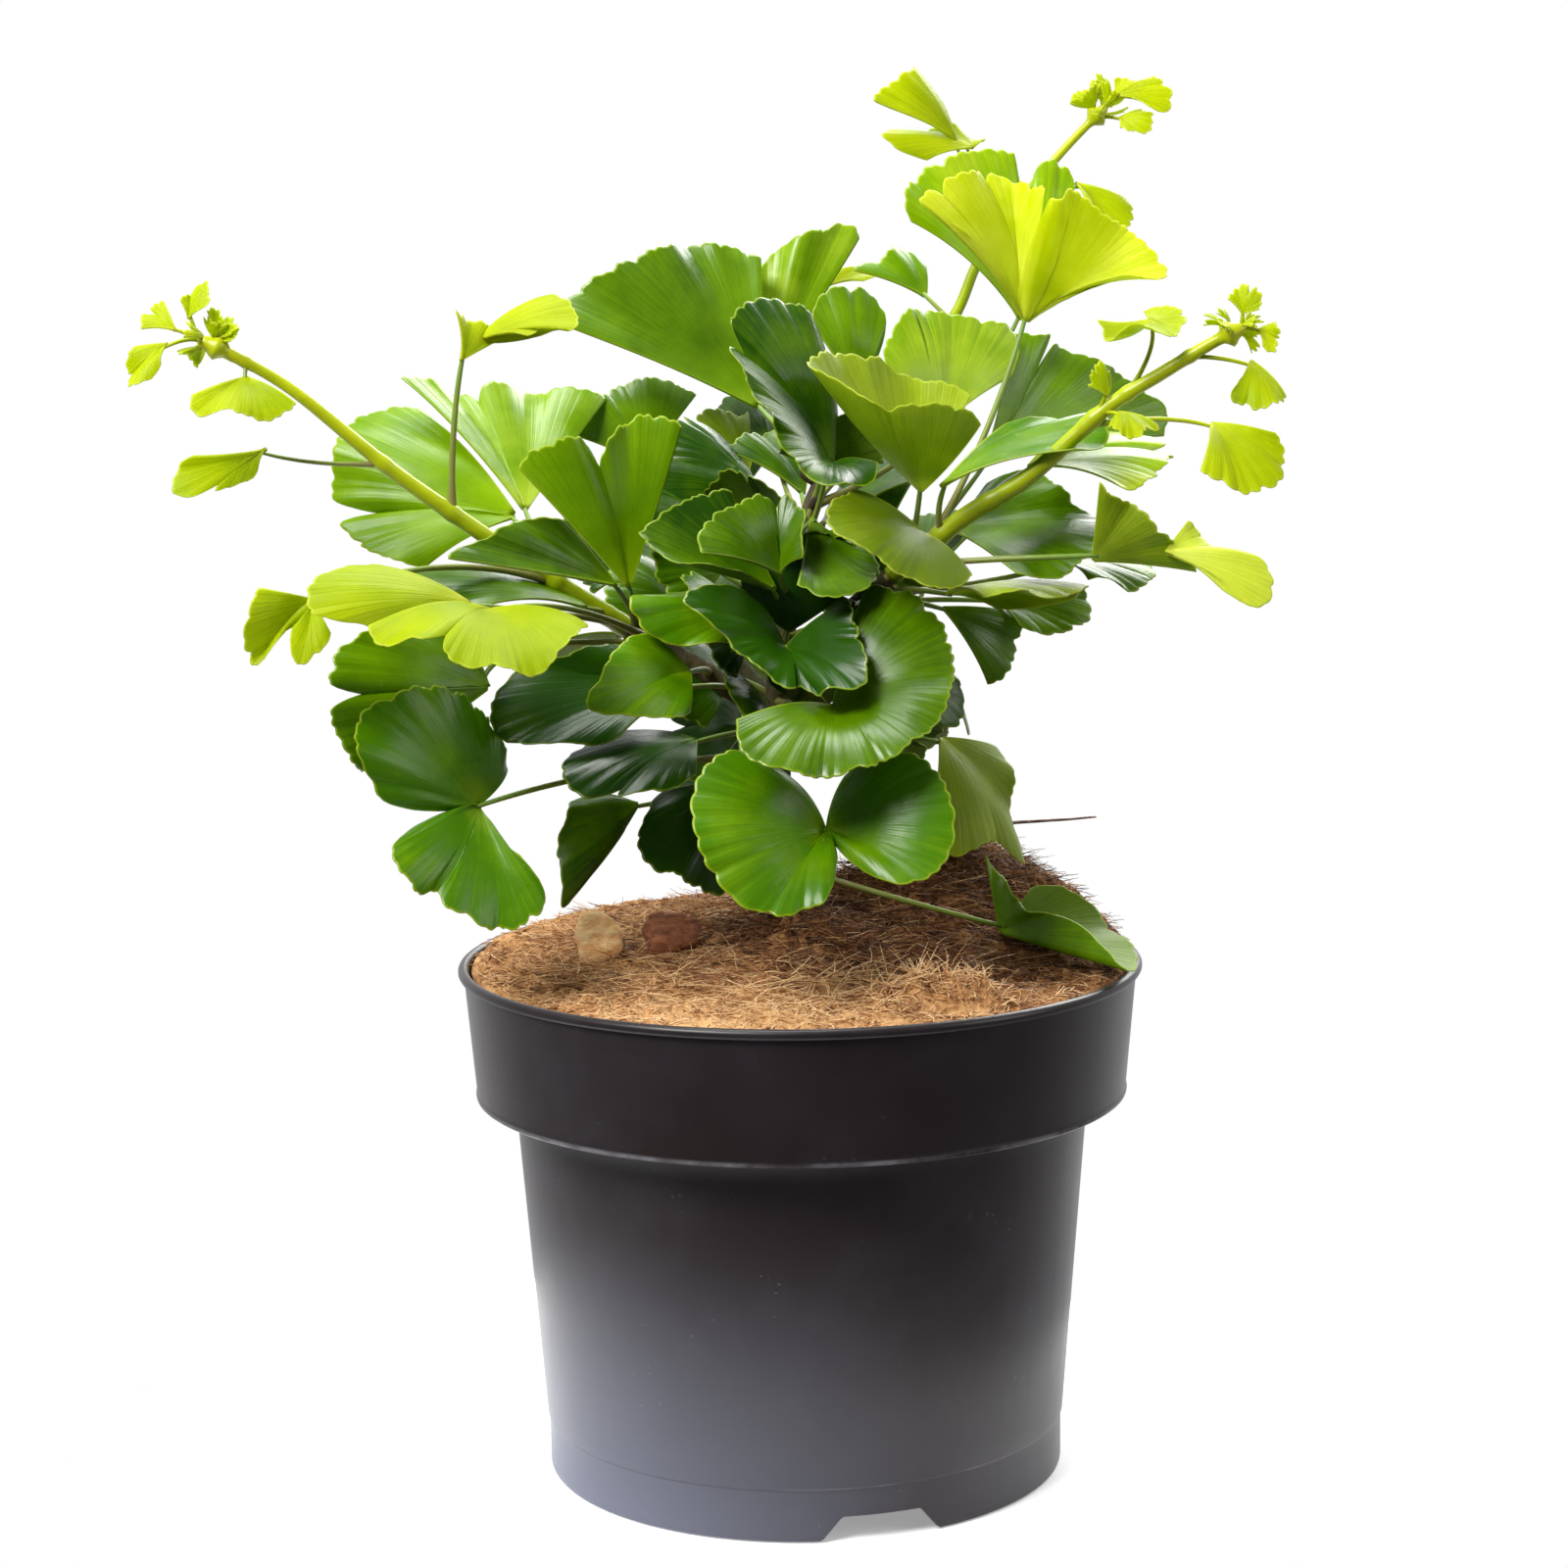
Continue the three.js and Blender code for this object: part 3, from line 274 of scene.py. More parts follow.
rubs = noise_of(tree, stretched(tree, place, (60.0, 60.0, 9.0)), 6.0, 6.0, 0.7)
rubs = mask_of(tree, rubs, 0.66, 0.72)
body = layered(tree, math_of(tree, "MULTIPLY", rubs, 0.1), body, srgb(120, 120, 126))
tree.links.new(body, shader.inputs["Base Color"])
satin = math_of(tree, "ADD", math_of(tree, "MULTIPLY", film, 0.16), 0.27)
satin = math_of(tree, "ADD", satin, math_of(tree, "MULTIPLY", rubs, 0.12))
tree.links.new(satin, shader.inputs["Roughness"])
shader.inputs["Specular IOR Level"].default_value = 0.38
shader.inputs["IOR"].default_value = 1.49
grain = noise_of(tree, place, 900.0, 2.0)
flow = noise_of(tree, stretched(tree, place, (30.0, 30.0, 4.0)), 1.0, 3.0)
normal = bumped(tree, grain, 0.0002, 0.1)
normal = bumped(tree, flow, 0.0012, 0.25, normal)
tree.links.new(normal, shader.inputs["Normal"])

pot = add_piece("pot", points, faces, [plastic], "black_plastic", ["nursery_pot"])
drills = []
for k in range(DRAIN_COUNT):
    angle = math.radians(360 / DRAIN_COUNT * k)
    bpy.ops.mesh.primitive_cylinder_add(
        vertices=36, radius=DRAIN_RADIUS * 0.001, depth=0.02,
        location=(DRAIN_RING * 0.001 * math.cos(angle), DRAIN_RING * 0.001 * math.sin(angle),
                  FLOOR_Z * 0.001),
    )
    drills.append(bpy.context.object)
    cut = pot.modifiers.new("drain", "BOOLEAN")
    cut.operation, cut.solver, cut.object = "DIFFERENCE", "EXACT", drills[-1]
shaped = pot.evaluated_get(bpy.context.evaluated_depsgraph_get())
drilled = bpy.data.meshes.new_from_object(shaped)
pot.modifiers.clear()
pot.data = drilled
for drill in drills:
    bpy.data.objects.remove(drill)
drilled.shade_smooth()
drilled.set_sharp_from_angle(angle=math.radians(38))

# ---- Root ball: dark potting soil full of fine roots, moulded to the inside of the pot and hidden
# by the coir. It keeps the shape of the frame's own solid and shows only through the drain holes.
def graded(tree, factor, *stops):
    """A smooth scale of colours: each stop is a place from 0 to 1 and a colour."""
    ramp = add_node(tree, "ValToRGB", {"Fac": factor})
    elements = ramp.color_ramp.elements
    elements[0].position, elements[-1].position = stops[0][0], stops[-1][0]
    for stop, _ in stops[1:-1]:
        elements.new(stop)
    for element, (_, colour) in zip(elements, stops):
        element.color = colour
    return ramp.outputs["Color"]


soil, tree, shader, place = new_skin("soil_and_roots")
crumbs = noise_of(tree, place, 180.0, 6.0, 0.7)
roots = noise_of(tree, stretched(tree, place, (1.0, 1.0, 0.25)), 260.0, 4.0, 0.6)
colour = graded(tree, crumbs, (0.3, srgb(28, 19, 13)), (0.55, srgb(58, 40, 27)),
                (0.75, srgb(92, 68, 46)))
colour = layered(tree, mask_of(tree, roots, 0.62, 0.68), colour, srgb(176, 150, 108))
tree.links.new(colour, shader.inputs["Base Color"])
shader.inputs["Roughness"].default_value = 0.95
shader.inputs["Specular IOR Level"].default_value = 0.2
tree.links.new(bumped(tree, crumbs, 0.003), shader.inputs["Normal"])
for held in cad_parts["root_ball"].material_slots:
    held.material = soil
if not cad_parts["root_ball"].material_slots:
    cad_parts["root_ball"].data.materials.append(soil)

# ---- Coir mulch: a loose mat of coconut fibre that fills the rim and heaps up behind the trunk on
# the right. Under it is a lumpy felt of broken fibre; over it lie thousands of separate fibres,
# golden at the front and browner on the right, round the trunk and on the heap, where the brown is
# partly painted shade under the leaves.
COIR_RADIUS = 91.2
COIR_EDGE = 139.6
COIR_FOOT = (89.8, 134.0)  # radius and height of the felt's lower edge, inside the rim
HEAP = (50, 45)
TUFT = (36, -66)
RING_COUNT = 92
TURN_COUNT = 420


def coir_height(x, y):
    """The mat's height: an even crown, a little higher at the back, and the heap."""
    crown = 6 * (1 - (x * x + y * y) / 90.6 ** 2)
    back = 4 * (y + 90.6) / 181.2
    heap = 24 * np.exp(-((x - HEAP[0]) ** 2 + (y - HEAP[1]) ** 2) / (2 * 26 ** 2))
    return COIR_EDGE + crown + back + heap


def lumps(x, y, size, octaves=3):
    """Smooth random relief between about -1 and 1, with features of the given size."""
    places = np.stack([x / size, y / size, np.zeros_like(x)], 1)
    return np.array([noise.fractal(p, 0.8, 2.1, octaves) for p in places.tolist()])


def mat_surface(x, y):
    """The felt's own surface, with its lumps and tufts, flattened and rounded off at the rim."""
    inside = np.clip((COIR_RADIUS - np.hypot(x, y)) / 8, 0, 1)
    relief = 2.8 * lumps(x, y, 17.0) + 2.6 * lumps(x + 300, y, 6.5) + 1.1 * lumps(x, y + 90, 2.2)
    tuft = 7.5 * np.exp(-((x - TUFT[0]) ** 2 / 340 + (y - TUFT[1]) ** 2 / 60))
    collar = 7.0 * np.exp(-((x + 1) ** 2 + (y + 6) ** 2) / (2 * 11 ** 2))
    height = coir_height(x, y) + (relief + tuft) * (0.2 + 0.8 * inside) + collar
    gap = np.maximum(COIR_RADIUS - np.hypot(x, y), 0)
    return np.minimum(height + 1.9 * (1 - inside), COIR_EDGE + 1.9 + 5.5 * np.sqrt(gap))


def coir_colour_and_shade(x, y):
    """0 for golden fibre and 1 for dark brown: darker near the trunk, on the right and behind,
    partly the fibre's own colour and partly painted shade under the leaves.
    """
    # Darker near the trunk, on the right and on the heap: painted shade of the leaves above, over
    # the fibre's own gold and brown patches.
    near_trunk = np.exp(-((x - 8) ** 2 + (y + 8) ** 2) / (2 * 24 ** 2))
    right = np.clip((x + 25) / 130, 0, 1)
    heap = np.exp(-((x - HEAP[0]) ** 2 + (y - HEAP[1]) ** 2) / (2 * 24 ** 2))
    patches = 0.2 * lumps(x, y, 15.0) + 0.16 * lumps(x, y + 200, 5.0)
    front = np.exp(-((x + 10) ** 2 / (2 * 42 ** 2) + (y + 74) ** 2 / (2 * 18 ** 2)))
    tone = 0.38 - 0.36 * front + 0.36 * near_trunk + 0.3 * right + 0.16 * heap + patches
    return np.clip(tone, 0, 1)


radii = np.linspace(1.0, COIR_RADIUS, RING_COUNT)
turn = np.linspace(0, 2 * np.pi, TURN_COUNT, endpoint=False)
r, a = np.meshgrid(radii, turn, indexing="ij")
x, y = (r * np.cos(a)).ravel(), (r * np.sin(a)).ravel()
n, last = len(turn), len(radii) - 1
foot = np.stack([COIR_FOOT[0] * np.cos(turn), COIR_FOOT[0] * np.sin(turn),
                 np.full(n, COIR_FOOT[1])], 1)
top = mat_surface(np.zeros(1), np.zeros(1))[0]
points = np.vstack([np.stack([x, y, mat_surface(x, y)], 1), foot,
                    [(0, 0, top), (0, 0, COIR_FOOT[1])]])
middle_top, middle_foot = len(points) - 2, len(points) - 1
faces = []
for i in range(n):
    j = (i + 1) % n
    for k in range(last + 1):
        faces.append((k * n + i, (k + 1) * n + i, (k + 1) * n + j, k * n + j))
    faces.append((middle_top, i, j))
    faces.append(((last + 1) * n + j, (last + 1) * n + i, middle_foot))

felt, tree, shader, place = new_skin("coir_felt")
tone = add_node(tree, "Attribute", attribute_name="tone").outputs["Fac"]
clumps = noise_of(tree, place, 70.0, 6.0, 0.7)
strands = noise_of(tree, stretched(tree, place, (1.0, 0.22, 0.6)), 900.0, 3.0, 0.7)
crossing = noise_of(tree, stretched(tree, place, (0.2, 1.0, 0.6)), 800.0, 3.0, 0.7)
woven = math_of(tree, "MAXIMUM", strands, crossing)
mixed = math_of(tree, "ADD", math_of(tree, "MULTIPLY", clumps, 0.55),
                math_of(tree, "MULTIPLY", woven, 0.55))
mixed = math_of(tree, "SUBTRACT", mixed, math_of(tree, "MULTIPLY", tone, 0.3))
colour = graded(tree, mixed, (0.16, srgb(48, 26, 12)), (0.34, srgb(118, 76, 44)),
                (0.48, srgb(186, 138, 90)), (0.64, srgb(222, 180, 128)))
tree.links.new(colour, shader.inputs["Base Color"])
shader.inputs["Roughness"].default_value = 0.95
shader.inputs["Specular IOR Level"].default_value = 0.15
tree.links.new(bumped(tree, mixed, 0.0022), shader.inputs["Normal"])
# The felt's tone, which carries the painted shade under the leaves.
shade = coir_colour_and_shade(points[:, 0], points[:, 1])
add_piece("coir_felt", points, faces, [felt], "coir", ["coir_mulch"], tone=shade)

fibre, tree, shader, place = new_skin("coir_fibre")
tone = add_node(tree, "Attribute", attribute_name="tone").outputs["Fac"]
along = noise_of(tree, place, 240.0, 3.0)
tone = math_of(tree, "ADD", tone, math_of(tree, "MULTIPLY", along, 0.25))
colour = graded(tree, tone, (0.1, srgb(238, 202, 152)), (0.4, srgb(204, 154, 104)),
                (0.7, srgb(140, 92, 56)), (1.0, srgb(66, 38, 22)))
tree.links.new(colour, shader.inputs["Base Color"])
shader.inputs["Roughness"].default_value = 0.6
shader.inputs["Specular IOR Level"].default_value = 0.3
tree.links.new(bumped(tree, along, 0.0003, 0.5), shader.inputs["Normal"])


FIBRE_REACH = 91  # no fibre passes this radius below CLEAR_OF_LIP
CLEAR_OF_LIP = 143.6
STRAW_SHARE = 0.16


def add_fibres(name, chance, x, y, length, lift, thickness, rising=0.0, paler=0.0):
    """Separate fibres, each a thin bent three-sided strand that starts at x, y on the mat, raised
    above it by rising and made paler by a negative paler."""
    count = len(x)
    parts = 4
    z = mat_surface(x, y) + rising
    turn = chance.uniform(0, 2 * np.pi, count)
    ahead = np.stack([np.cos(turn) * np.cos(lift), np.sin(turn) * np.cos(lift), np.sin(lift)], 1)
    side = np.cross(ahead, [0, 0, 1])
    side /= np.linalg.norm(side, axis=1)[:, None]
    over = np.cross(side, ahead)
    bend = chance.normal(0, 0.28, count)
    droop = chance.uniform(0.0, 0.35, count)
    shade = coir_colour_and_shade(x, y) + chance.normal(0, 0.22, count) + paler
    straw = chance.uniform(0, 1, count) < STRAW_SHARE
    shade = np.clip(np.where(straw, shade - 0.4, shade), 0, 1)
    length = length * np.clip((FIBRE_REACH - np.hypot(x, y)) / 26, 0.4, 1)
    points, tones = [], []
    for k in range(parts + 1):
        f = k / parts
        centre = np.stack([x, y, z], 1) + ahead * (length * f)[:, None]
        centre += side * (length * bend * f * f)[:, None]
        centre[:, 2] -= length * droop * f * f
        out = np.hypot(centre[:, 0], centre[:, 1])
        within = np.where((out > FIBRE_REACH) & (centre[:, 2] < CLEAR_OF_LIP),
                          FIBRE_REACH / np.maximum(out, 1), 1.0)
        centre[:, :2] *= within[:, None]
        thin = thickness * (1 - 0.6 * f)
        for corner in range(3):
            angle = 2 * np.pi * corner / 3
            points.append(centre + side * (thin * math.cos(angle))[:, None]
                          + over * (thin * math.sin(angle))[:, None])
            tones.append(shade)
    points = np.stack(points, 1)
    tones = np.stack(tones, 1)
    pattern = []
    for k in range(parts):
        for corner in range(3):
            a, b = 3 * k + corner, 3 * k + (corner + 1) % 3
            pattern.append((a, b, b + 3, a + 3))
    pattern = np.array(pattern)
    per = 3 * (parts + 1)
    faces = (pattern[None] + per * np.arange(count)[:, None, None]).reshape(-1, 4)
    ends = np.array([(2, 1, 0), (per - 3, per - 2, per - 1)])
    caps = (ends[None] + per * np.arange(count)[:, None, None]).reshape(-1, 3)
    add_piece(name, points.reshape(-1, 3), faces.tolist() + caps.tolist(), [fibre], "coir",
              tone=tones.ravel())


chance = np.random.default_rng(7)


def scattered(count):
    """Random places spread evenly over the mat."""
    r = 89.5 * np.sqrt(chance.uniform(0, 1, count))
    turn = chance.uniform(0, 2 * np.pi, count)
    return r * np.cos(turn), r * np.sin(turn)


for name, count in (("coir_fibres_low", 8000), ("coir_fibres_over", 8000)):
    x, y = scattered(count)
    add_fibres(name, chance, x, y, chance.uniform(4, 15, count),
               chance.normal(0.12, 0.2, count), chance.uniform(0.12, 0.24, count), 0.1)
count = 1400
x, y = scattered(count)
add_fibres("coir_fibres_loose", chance, x, y, chance.uniform(7, 16, count),
           chance.uniform(0.0, 0.45, count), chance.uniform(0.08, 0.15, count), 0.2)
INSIDE_RIM = 88
count = 900
turn = chance.uniform(0, 2 * np.pi, count)
r = chance.uniform(4, 34, count)
x, y = HEAP[0] + r * np.cos(turn), HEAP[1] + r * np.sin(turn)
near = np.minimum(1, INSIDE_RIM / np.hypot(x, y))
add_fibres("coir_fibres_heap", chance, x * near, y * near, chance.uniform(4, 9, count),
           chance.uniform(0.1, 0.8, count), chance.uniform(0.08, 0.15, count), 0.1)
count = 240
x, y = chance.normal(TUFT[0] + 2, 12, count), chance.normal(TUFT[1], 5, count)
add_fibres("coir_tuft_fibres", chance, x, y, chance.uniform(6, 15, count),
           chance.uniform(0.1, 1.3, count), chance.uniform(0.12, 0.22, count), 0.3, -0.35)
count = 500
x, y = chance.normal(0, 34, count), chance.normal(-62, 14, count)
near = np.minimum(1, INSIDE_RIM / np.hypot(x, y))
add_fibres("coir_straw", chance, x * near, y * near, chance.uniform(8, 18, count),
           chance.uniform(0.0, 0.5, count), chance.uniform(0.16, 0.27, count), 0.4, -0.4)

# ---- Bark chips: two thick splinters of pine bark bedded on edge in the coir, one pale and fresh,
# one weathered red-brown. Their edges are broken and their faces ridged along the grain.
CHIP_ROWS, CHIP_COLUMNS = 15, 25
CHIPS = {
    "bark_chip_pale": dict(x=-55, y=-13, length=13, width=15, thickness=5, turn=0.2, tilt=1.05),
    "bark_chip_red": dict(x=-35, y=-10, length=16, width=12, thickness=8, turn=0.25, tilt=0.9),
}
BARK_COLOURS = {
    "bark_chip_pale": (srgb(236, 166, 96), srgb(255, 218, 164), "bark_pale"),
    "bark_chip_red": (srgb(88, 46, 28), srgb(168, 104, 70), "bark_red"),
}
for name, chip in CHIPS.items():
    dark, light, slot_name = BARK_COLOURS[name]
    bark, tree, shader, place = new_skin(name.replace("chip", "grain"))
    ridges = noise_of(tree, stretched(tree, place, (0.35, 1.0, 1.0)), 420.0, 5.0, 0.65)
    colour = graded(tree, ridges, (0.3, dark), (0.62, light))
    tree.links.new(colour, shader.inputs["Base Color"])
    shader.inputs["Roughness"].default_value = 0.85
    tree.links.new(bumped(tree, ridges, 0.0015), shader.inputs["Normal"])
    rows, columns = CHIP_ROWS, CHIP_COLUMNS
    points, faces = [], []
    for side in (1, -1):
        for i in range(rows):
            for j in range(columns):
                v, u = 2 * i / (rows - 1) - 1, 2 * j / (columns - 1) - 1
                outline_width = 1 - 0.3 * abs(u) ** 3 - 0.2 * u
                px = u * chip["length"] / 2 * (1 - 0.16 * v * v + 0.05 * math.sin(5 * v))
                py = v * chip["width"] / 2 * outline_width
                rough = noise.fractal((px / 4, py / 2.5, side * 3.0 + chip["x"]), 0.7, 2.0, 4)
                body = (1 - u ** 6) * (1 - v ** 6)
                pz = side * chip["thickness"] / 2 * (0.3 + 0.7 * body) + 0.8 * rough * (0.3 + body)
                points.append((px, py, pz))
    size = rows * columns
    for i in range(rows - 1):
        for j in range(columns - 1):
            a = i * columns + j
            faces.append((a, a + 1, a + columns + 1, a + columns))
            faces.append((size + a, size + a + columns, size + a + columns + 1, size + a + 1))
    for j in range(columns - 1):
        last = (rows - 1) * columns + j
        faces.append((j + 1, j, size + j, size + j + 1))
        faces.append((last, last + 1, size + last + 1, size + last))
    for i in range(rows - 1):
        left, right = i * columns, i * columns + columns - 1
        faces.append((left, left + columns, size + left + columns, size + left))
        faces.append((right + columns, right, size + right, size + right + columns))
    turned = Matrix.Rotation(chip["turn"], 3, "Z") @ Matrix.Rotation(chip["tilt"], 3, "X")
    ground = float(coir_height(np.float64(chip["x"]), np.float64(chip["y"])))
    points = np.array([turned @ Vector(p) for p in points])
    points += [chip["x"], chip["y"], ground - 1.0 - points[:, 2].min()]
    add_piece(name.replace("chip", "splinter"), points, faces, [bark], slot_name, [name])

# ---- Trunk and branches: one short woody stem with three side branches, olive-brown bark, ringed
# with the scars and short spurs that the leaf stalks grow from. It stands in the root ball.
def smooth_line(points, count):
    """A smooth curve through the points, as count + 1 points at even distances along it."""
    p = np.array(points, float)
    p = np.vstack([2 * p[0] - p[1], p, 2 * p[-1] - p[-2]])
    f = np.linspace(0, 1, 80, endpoint=False)[:, None]
    dense = []
    for a, b, c, d in zip(p, p[1:], p[2:], p[3:]):
        dense.append(0.5 * (2 * b + (c - a) * f + (2 * a - 5 * b + 4 * c - d) * f ** 2
                            + (3 * b - a - 3 * c + d) * f ** 3))
    dense = np.vstack(dense + [p[-2:-1]])
    gone = np.r_[0, np.cumsum(np.linalg.norm(np.diff(dense, axis=0), axis=1))]
    wanted = np.linspace(0, gone[-1], count + 1)
    return np.stack([np.interp(wanted, gone, dense[:, k]) for k in range(3)], 1)


def swept(path, radii, sides):
    """A closed round strand along a path: points, faces and how far along each point lies."""
    count = len(path)
    ahead = np.gradient(path, axis=0)
    ahead /= np.linalg.norm(ahead, axis=1)[:, None]
    side = np.cross(ahead[0], [0.3, 0.2, 1.0])
    points, along = [], []
    angle = 2 * np.pi * np.arange(sides) / sides
    for i in range(count):
        side = side - ahead[i] * side.dot(ahead[i])
        side /= np.linalg.norm(side)
        over = np.cross(ahead[i], side)
        ring = np.outer(np.cos(angle), side) + np.outer(np.sin(angle), over)
        points.append(path[i] + ring * np.reshape(radii[i], (-1, 1)))
        along += [i / (count - 1)] * sides
    points = np.vstack(points)
    faces = []
    for i in range(count - 1):
        for k in range(sides):
            a, b = i * sides + k, i * sides + (k + 1) % sides
            faces.append((a, b, b + sides, a + sides))
    faces.append(tuple(range(sides))[::-1])
    faces.append(tuple((count - 1) * sides + k for k in range(sides)))
    return points, faces, along


class Gathered:
    """Meshes joined into one piece: points, faces, the skin of each face, and point values."""

    def __init__(self):
        self.points, self.faces, self.skins, self.values = [], [], [], {}
        self.count = 0

    def add(self, points, faces, skin=0, **values):
        points = np.asarray(points, float)
        self.points.append(points)
        self.faces += [tuple(v + self.count for v in face) for face in faces]
        self.skins += [skin] * len(faces) if np.isscalar(skin) else list(skin)
        for key, numbers in values.items():
            self.values.setdefault(key, []).append(np.broadcast_to(numbers, len(points)))
        self.count += len(points)

    def make(self, name, skins, slot_name, stands_for=()):
        values = {key: np.concatenate(numbers) for key, numbers in self.values.items()}
        return add_piece(name, np.vstack(self.points), self.faces, skins, slot_name, stands_for,
                         self.skins, **values)


# Points along the middle of each stem in millimetres, and its radius at the start and the end.
STEM_POINTS = {
    "trunk": [(-4, 2, 128), (-5, 3, 177), (-6, 4, 207), (-3, 8, 234), (3, 16, 261),
              (10, 24, 279)],
    "branch_left": [(-5, 4, 209), (-25, -2, 223), (-45, -6, 236)],
    "branch_right": [(-4, 5, 218), (10, -4, 235), (25, -12, 249)],
    "branch_top": [(8, 22, 274), (14, 26, 281), (21, 29, 288)],
    "shoot_left": [(-46, -6, 236), (-63, -12, 248), (-82, -20, 262), (-107, -26, 281),
                   (-131, -32, 302), (-147, -36, 312), (-155, -38, 316)],
    "shoot_right": [(26, -13, 250), (45, -22, 266), (62, -28, 277), (82, -34, 295),
                    (96, -38, 304), (109, -42, 312), (117, -44, 316)],
    "shoot_top": [(22, 29, 288), (35, 36, 302), (47, 44, 320), (54, 50, 335), (65, 52, 350),
                  (78, 54, 365), (91, 56, 378)],
    "spray_left": [(-6, 5, 214), (-20, 30, 226), (-34, 54, 238)],
    "spray_right": [(-4, 6, 216), (14, 32, 222), (34, 58, 228)],
}
STEM_RADII = {
    "trunk": (5.0, 2.4), "branch_left": (3.4, 2.8), "branch_right": (3.4, 2.8),
    "branch_top": (2.4, 2.2), "shoot_left": (2.9, 1.4), "shoot_right": (2.9, 1.6),
    "shoot_top": (2.0, 1.2), "spray_left": (2.2, 1.4), "spray_right": (2.2, 1.4),
}
STEM_STEPS = 200
WOOD_STEPS = 90
SPUR_COUNT = 26
RING_ROOM = 0.1  # how much thinner a stem is than its radius, to leave room for its swellings
stem_lines = {name: smooth_line(points, STEM_STEPS) for name, points in STEM_POINTS.items()}


def stem_point(name, at):
    """A point on a stem, from its start (0) to its end (1)."""
    return stem_lines[name][int(round(at * STEM_STEPS))]


bark, tree, shader, place = new_skin("young_bark")
plates = noise_of(tree, stretched(tree, place, (1.0, 1.0, 0.4)), 260.0, 5.0, 0.65)
moss = noise_of(tree, place, 60.0, 3.0)
colour = graded(tree, plates, (0.3, srgb(28, 22, 12)), (0.52, srgb(60, 46, 24)),
                (0.7, srgb(96, 80, 46)))
colour = layered(tree, mask_of(tree, moss, 0.4, 0.7), colour, srgb(66, 74, 22))
tree.links.new(colour, shader.inputs["Base Color"])
shader.inputs["Roughness"].default_value = 0.8
tree.links.new(bumped(tree, plates, 0.0015), shader.inputs["Normal"])

wood = Gathered()
for name in ("trunk", "branch_left", "branch_right", "branch_top"):
    start, end = STEM_RADII[name]
    path = smooth_line(STEM_POINTS[name], WOOD_STEPS)
    f = np.linspace(0, 1, WOOD_STEPS + 1)
    length = np.linalg.norm(np.diff(path, axis=0), axis=1).sum()
    rings = 0.22 * np.exp(-((f * length / 7.0) % 1.0 - 0.5) ** 2 / 0.02)
    radii = start + (end - start) * f - RING_ROOM + rings
    points, faces, _ = swept(path, radii, 16)
    wood.add(points, faces)
for k in range(SPUR_COUNT):
    at = 0.3 + 0.68 * k / SPUR_COUNT
    here = stem_point("trunk", at)
    turn = 2.4 * k
    out = np.array([math.cos(turn), math.sin(turn), 0.5])
    path = smooth_line([here, here + 4.5 * out, here + 6.0 * out + [0, 0, 1.2]], 6)
    points, faces, _ = swept(path, np.array([1.6, 1.5, 1.5, 1.4, 1.3, 1.1, 0.6]), 8)
    wood.add(points, faces)
wood.make("trunk_and_branches", [bark], "young_wood", ["trunk"])

# ---- Dry twig: a thin dead side twig that sticks out to the right behind the lowest leaves, grey
# and cracked, thinner towards its broken tip.
dead, tree, shader, place = new_skin("dead_twig_bark")
cracks = noise_of(tree, stretched(tree, place, (0.3, 1.0, 1.0)), 500.0, 4.0, 0.6)
colour = graded(tree, cracks, (0.35, srgb(104, 74, 60)), (0.65, srgb(176, 146, 132)))
tree.links.new(colour, shader.inputs["Base Color"])
shader.inputs["Roughness"].default_value = 0.85
tree.links.new(bumped(tree, cracks, 0.0006), shader.inputs["Normal"])
TWIG_POINTS = [(-2, 9, 176), (29, 22, 174), (62, 35, 174), (87, 45, 174)]
TWIG_RADII = (1.1, 0.28)
TWIG_STEPS = 40
TWIG_WOBBLE = 0.35
TWIG_SEED = 5  # without it the wobble would be another one in each run

noise.seed_set(TWIG_SEED)
path = smooth_line(TWIG_POINTS, TWIG_STEPS)
wobble = [noise.noise_vector((0.25 * k, 3.0, 1.0)) for k in range(TWIG_STEPS + 1)]
wobble = np.stack(wobble) * TWIG_WOBBLE
points, faces, _ = swept(path + wobble, np.linspace(*TWIG_RADII, TWIG_STEPS + 1), 8)
add_piece("dead_twig", points, faces, [dead], "dead_wood", ["dry_twig"])

# ---- Leaves: fan-shaped blades on slender stalks, leathery and glossy above, duller and paler
# below, with fine forked veins that run out from the stalk, a crimped margin edged with yellow,
# and in many a deep cleft. Each is one closed skin about half a millimetre thick.
BLADE_HALF = 0.22  # half the thickness of the blade near its margin
VEIN_GAP = 1.15  # from one fine vein to the next; the main ones lie twice as far apart
STALK_RIM = 9.0  # as if far from any margin, so that a stalk takes no yellow edge


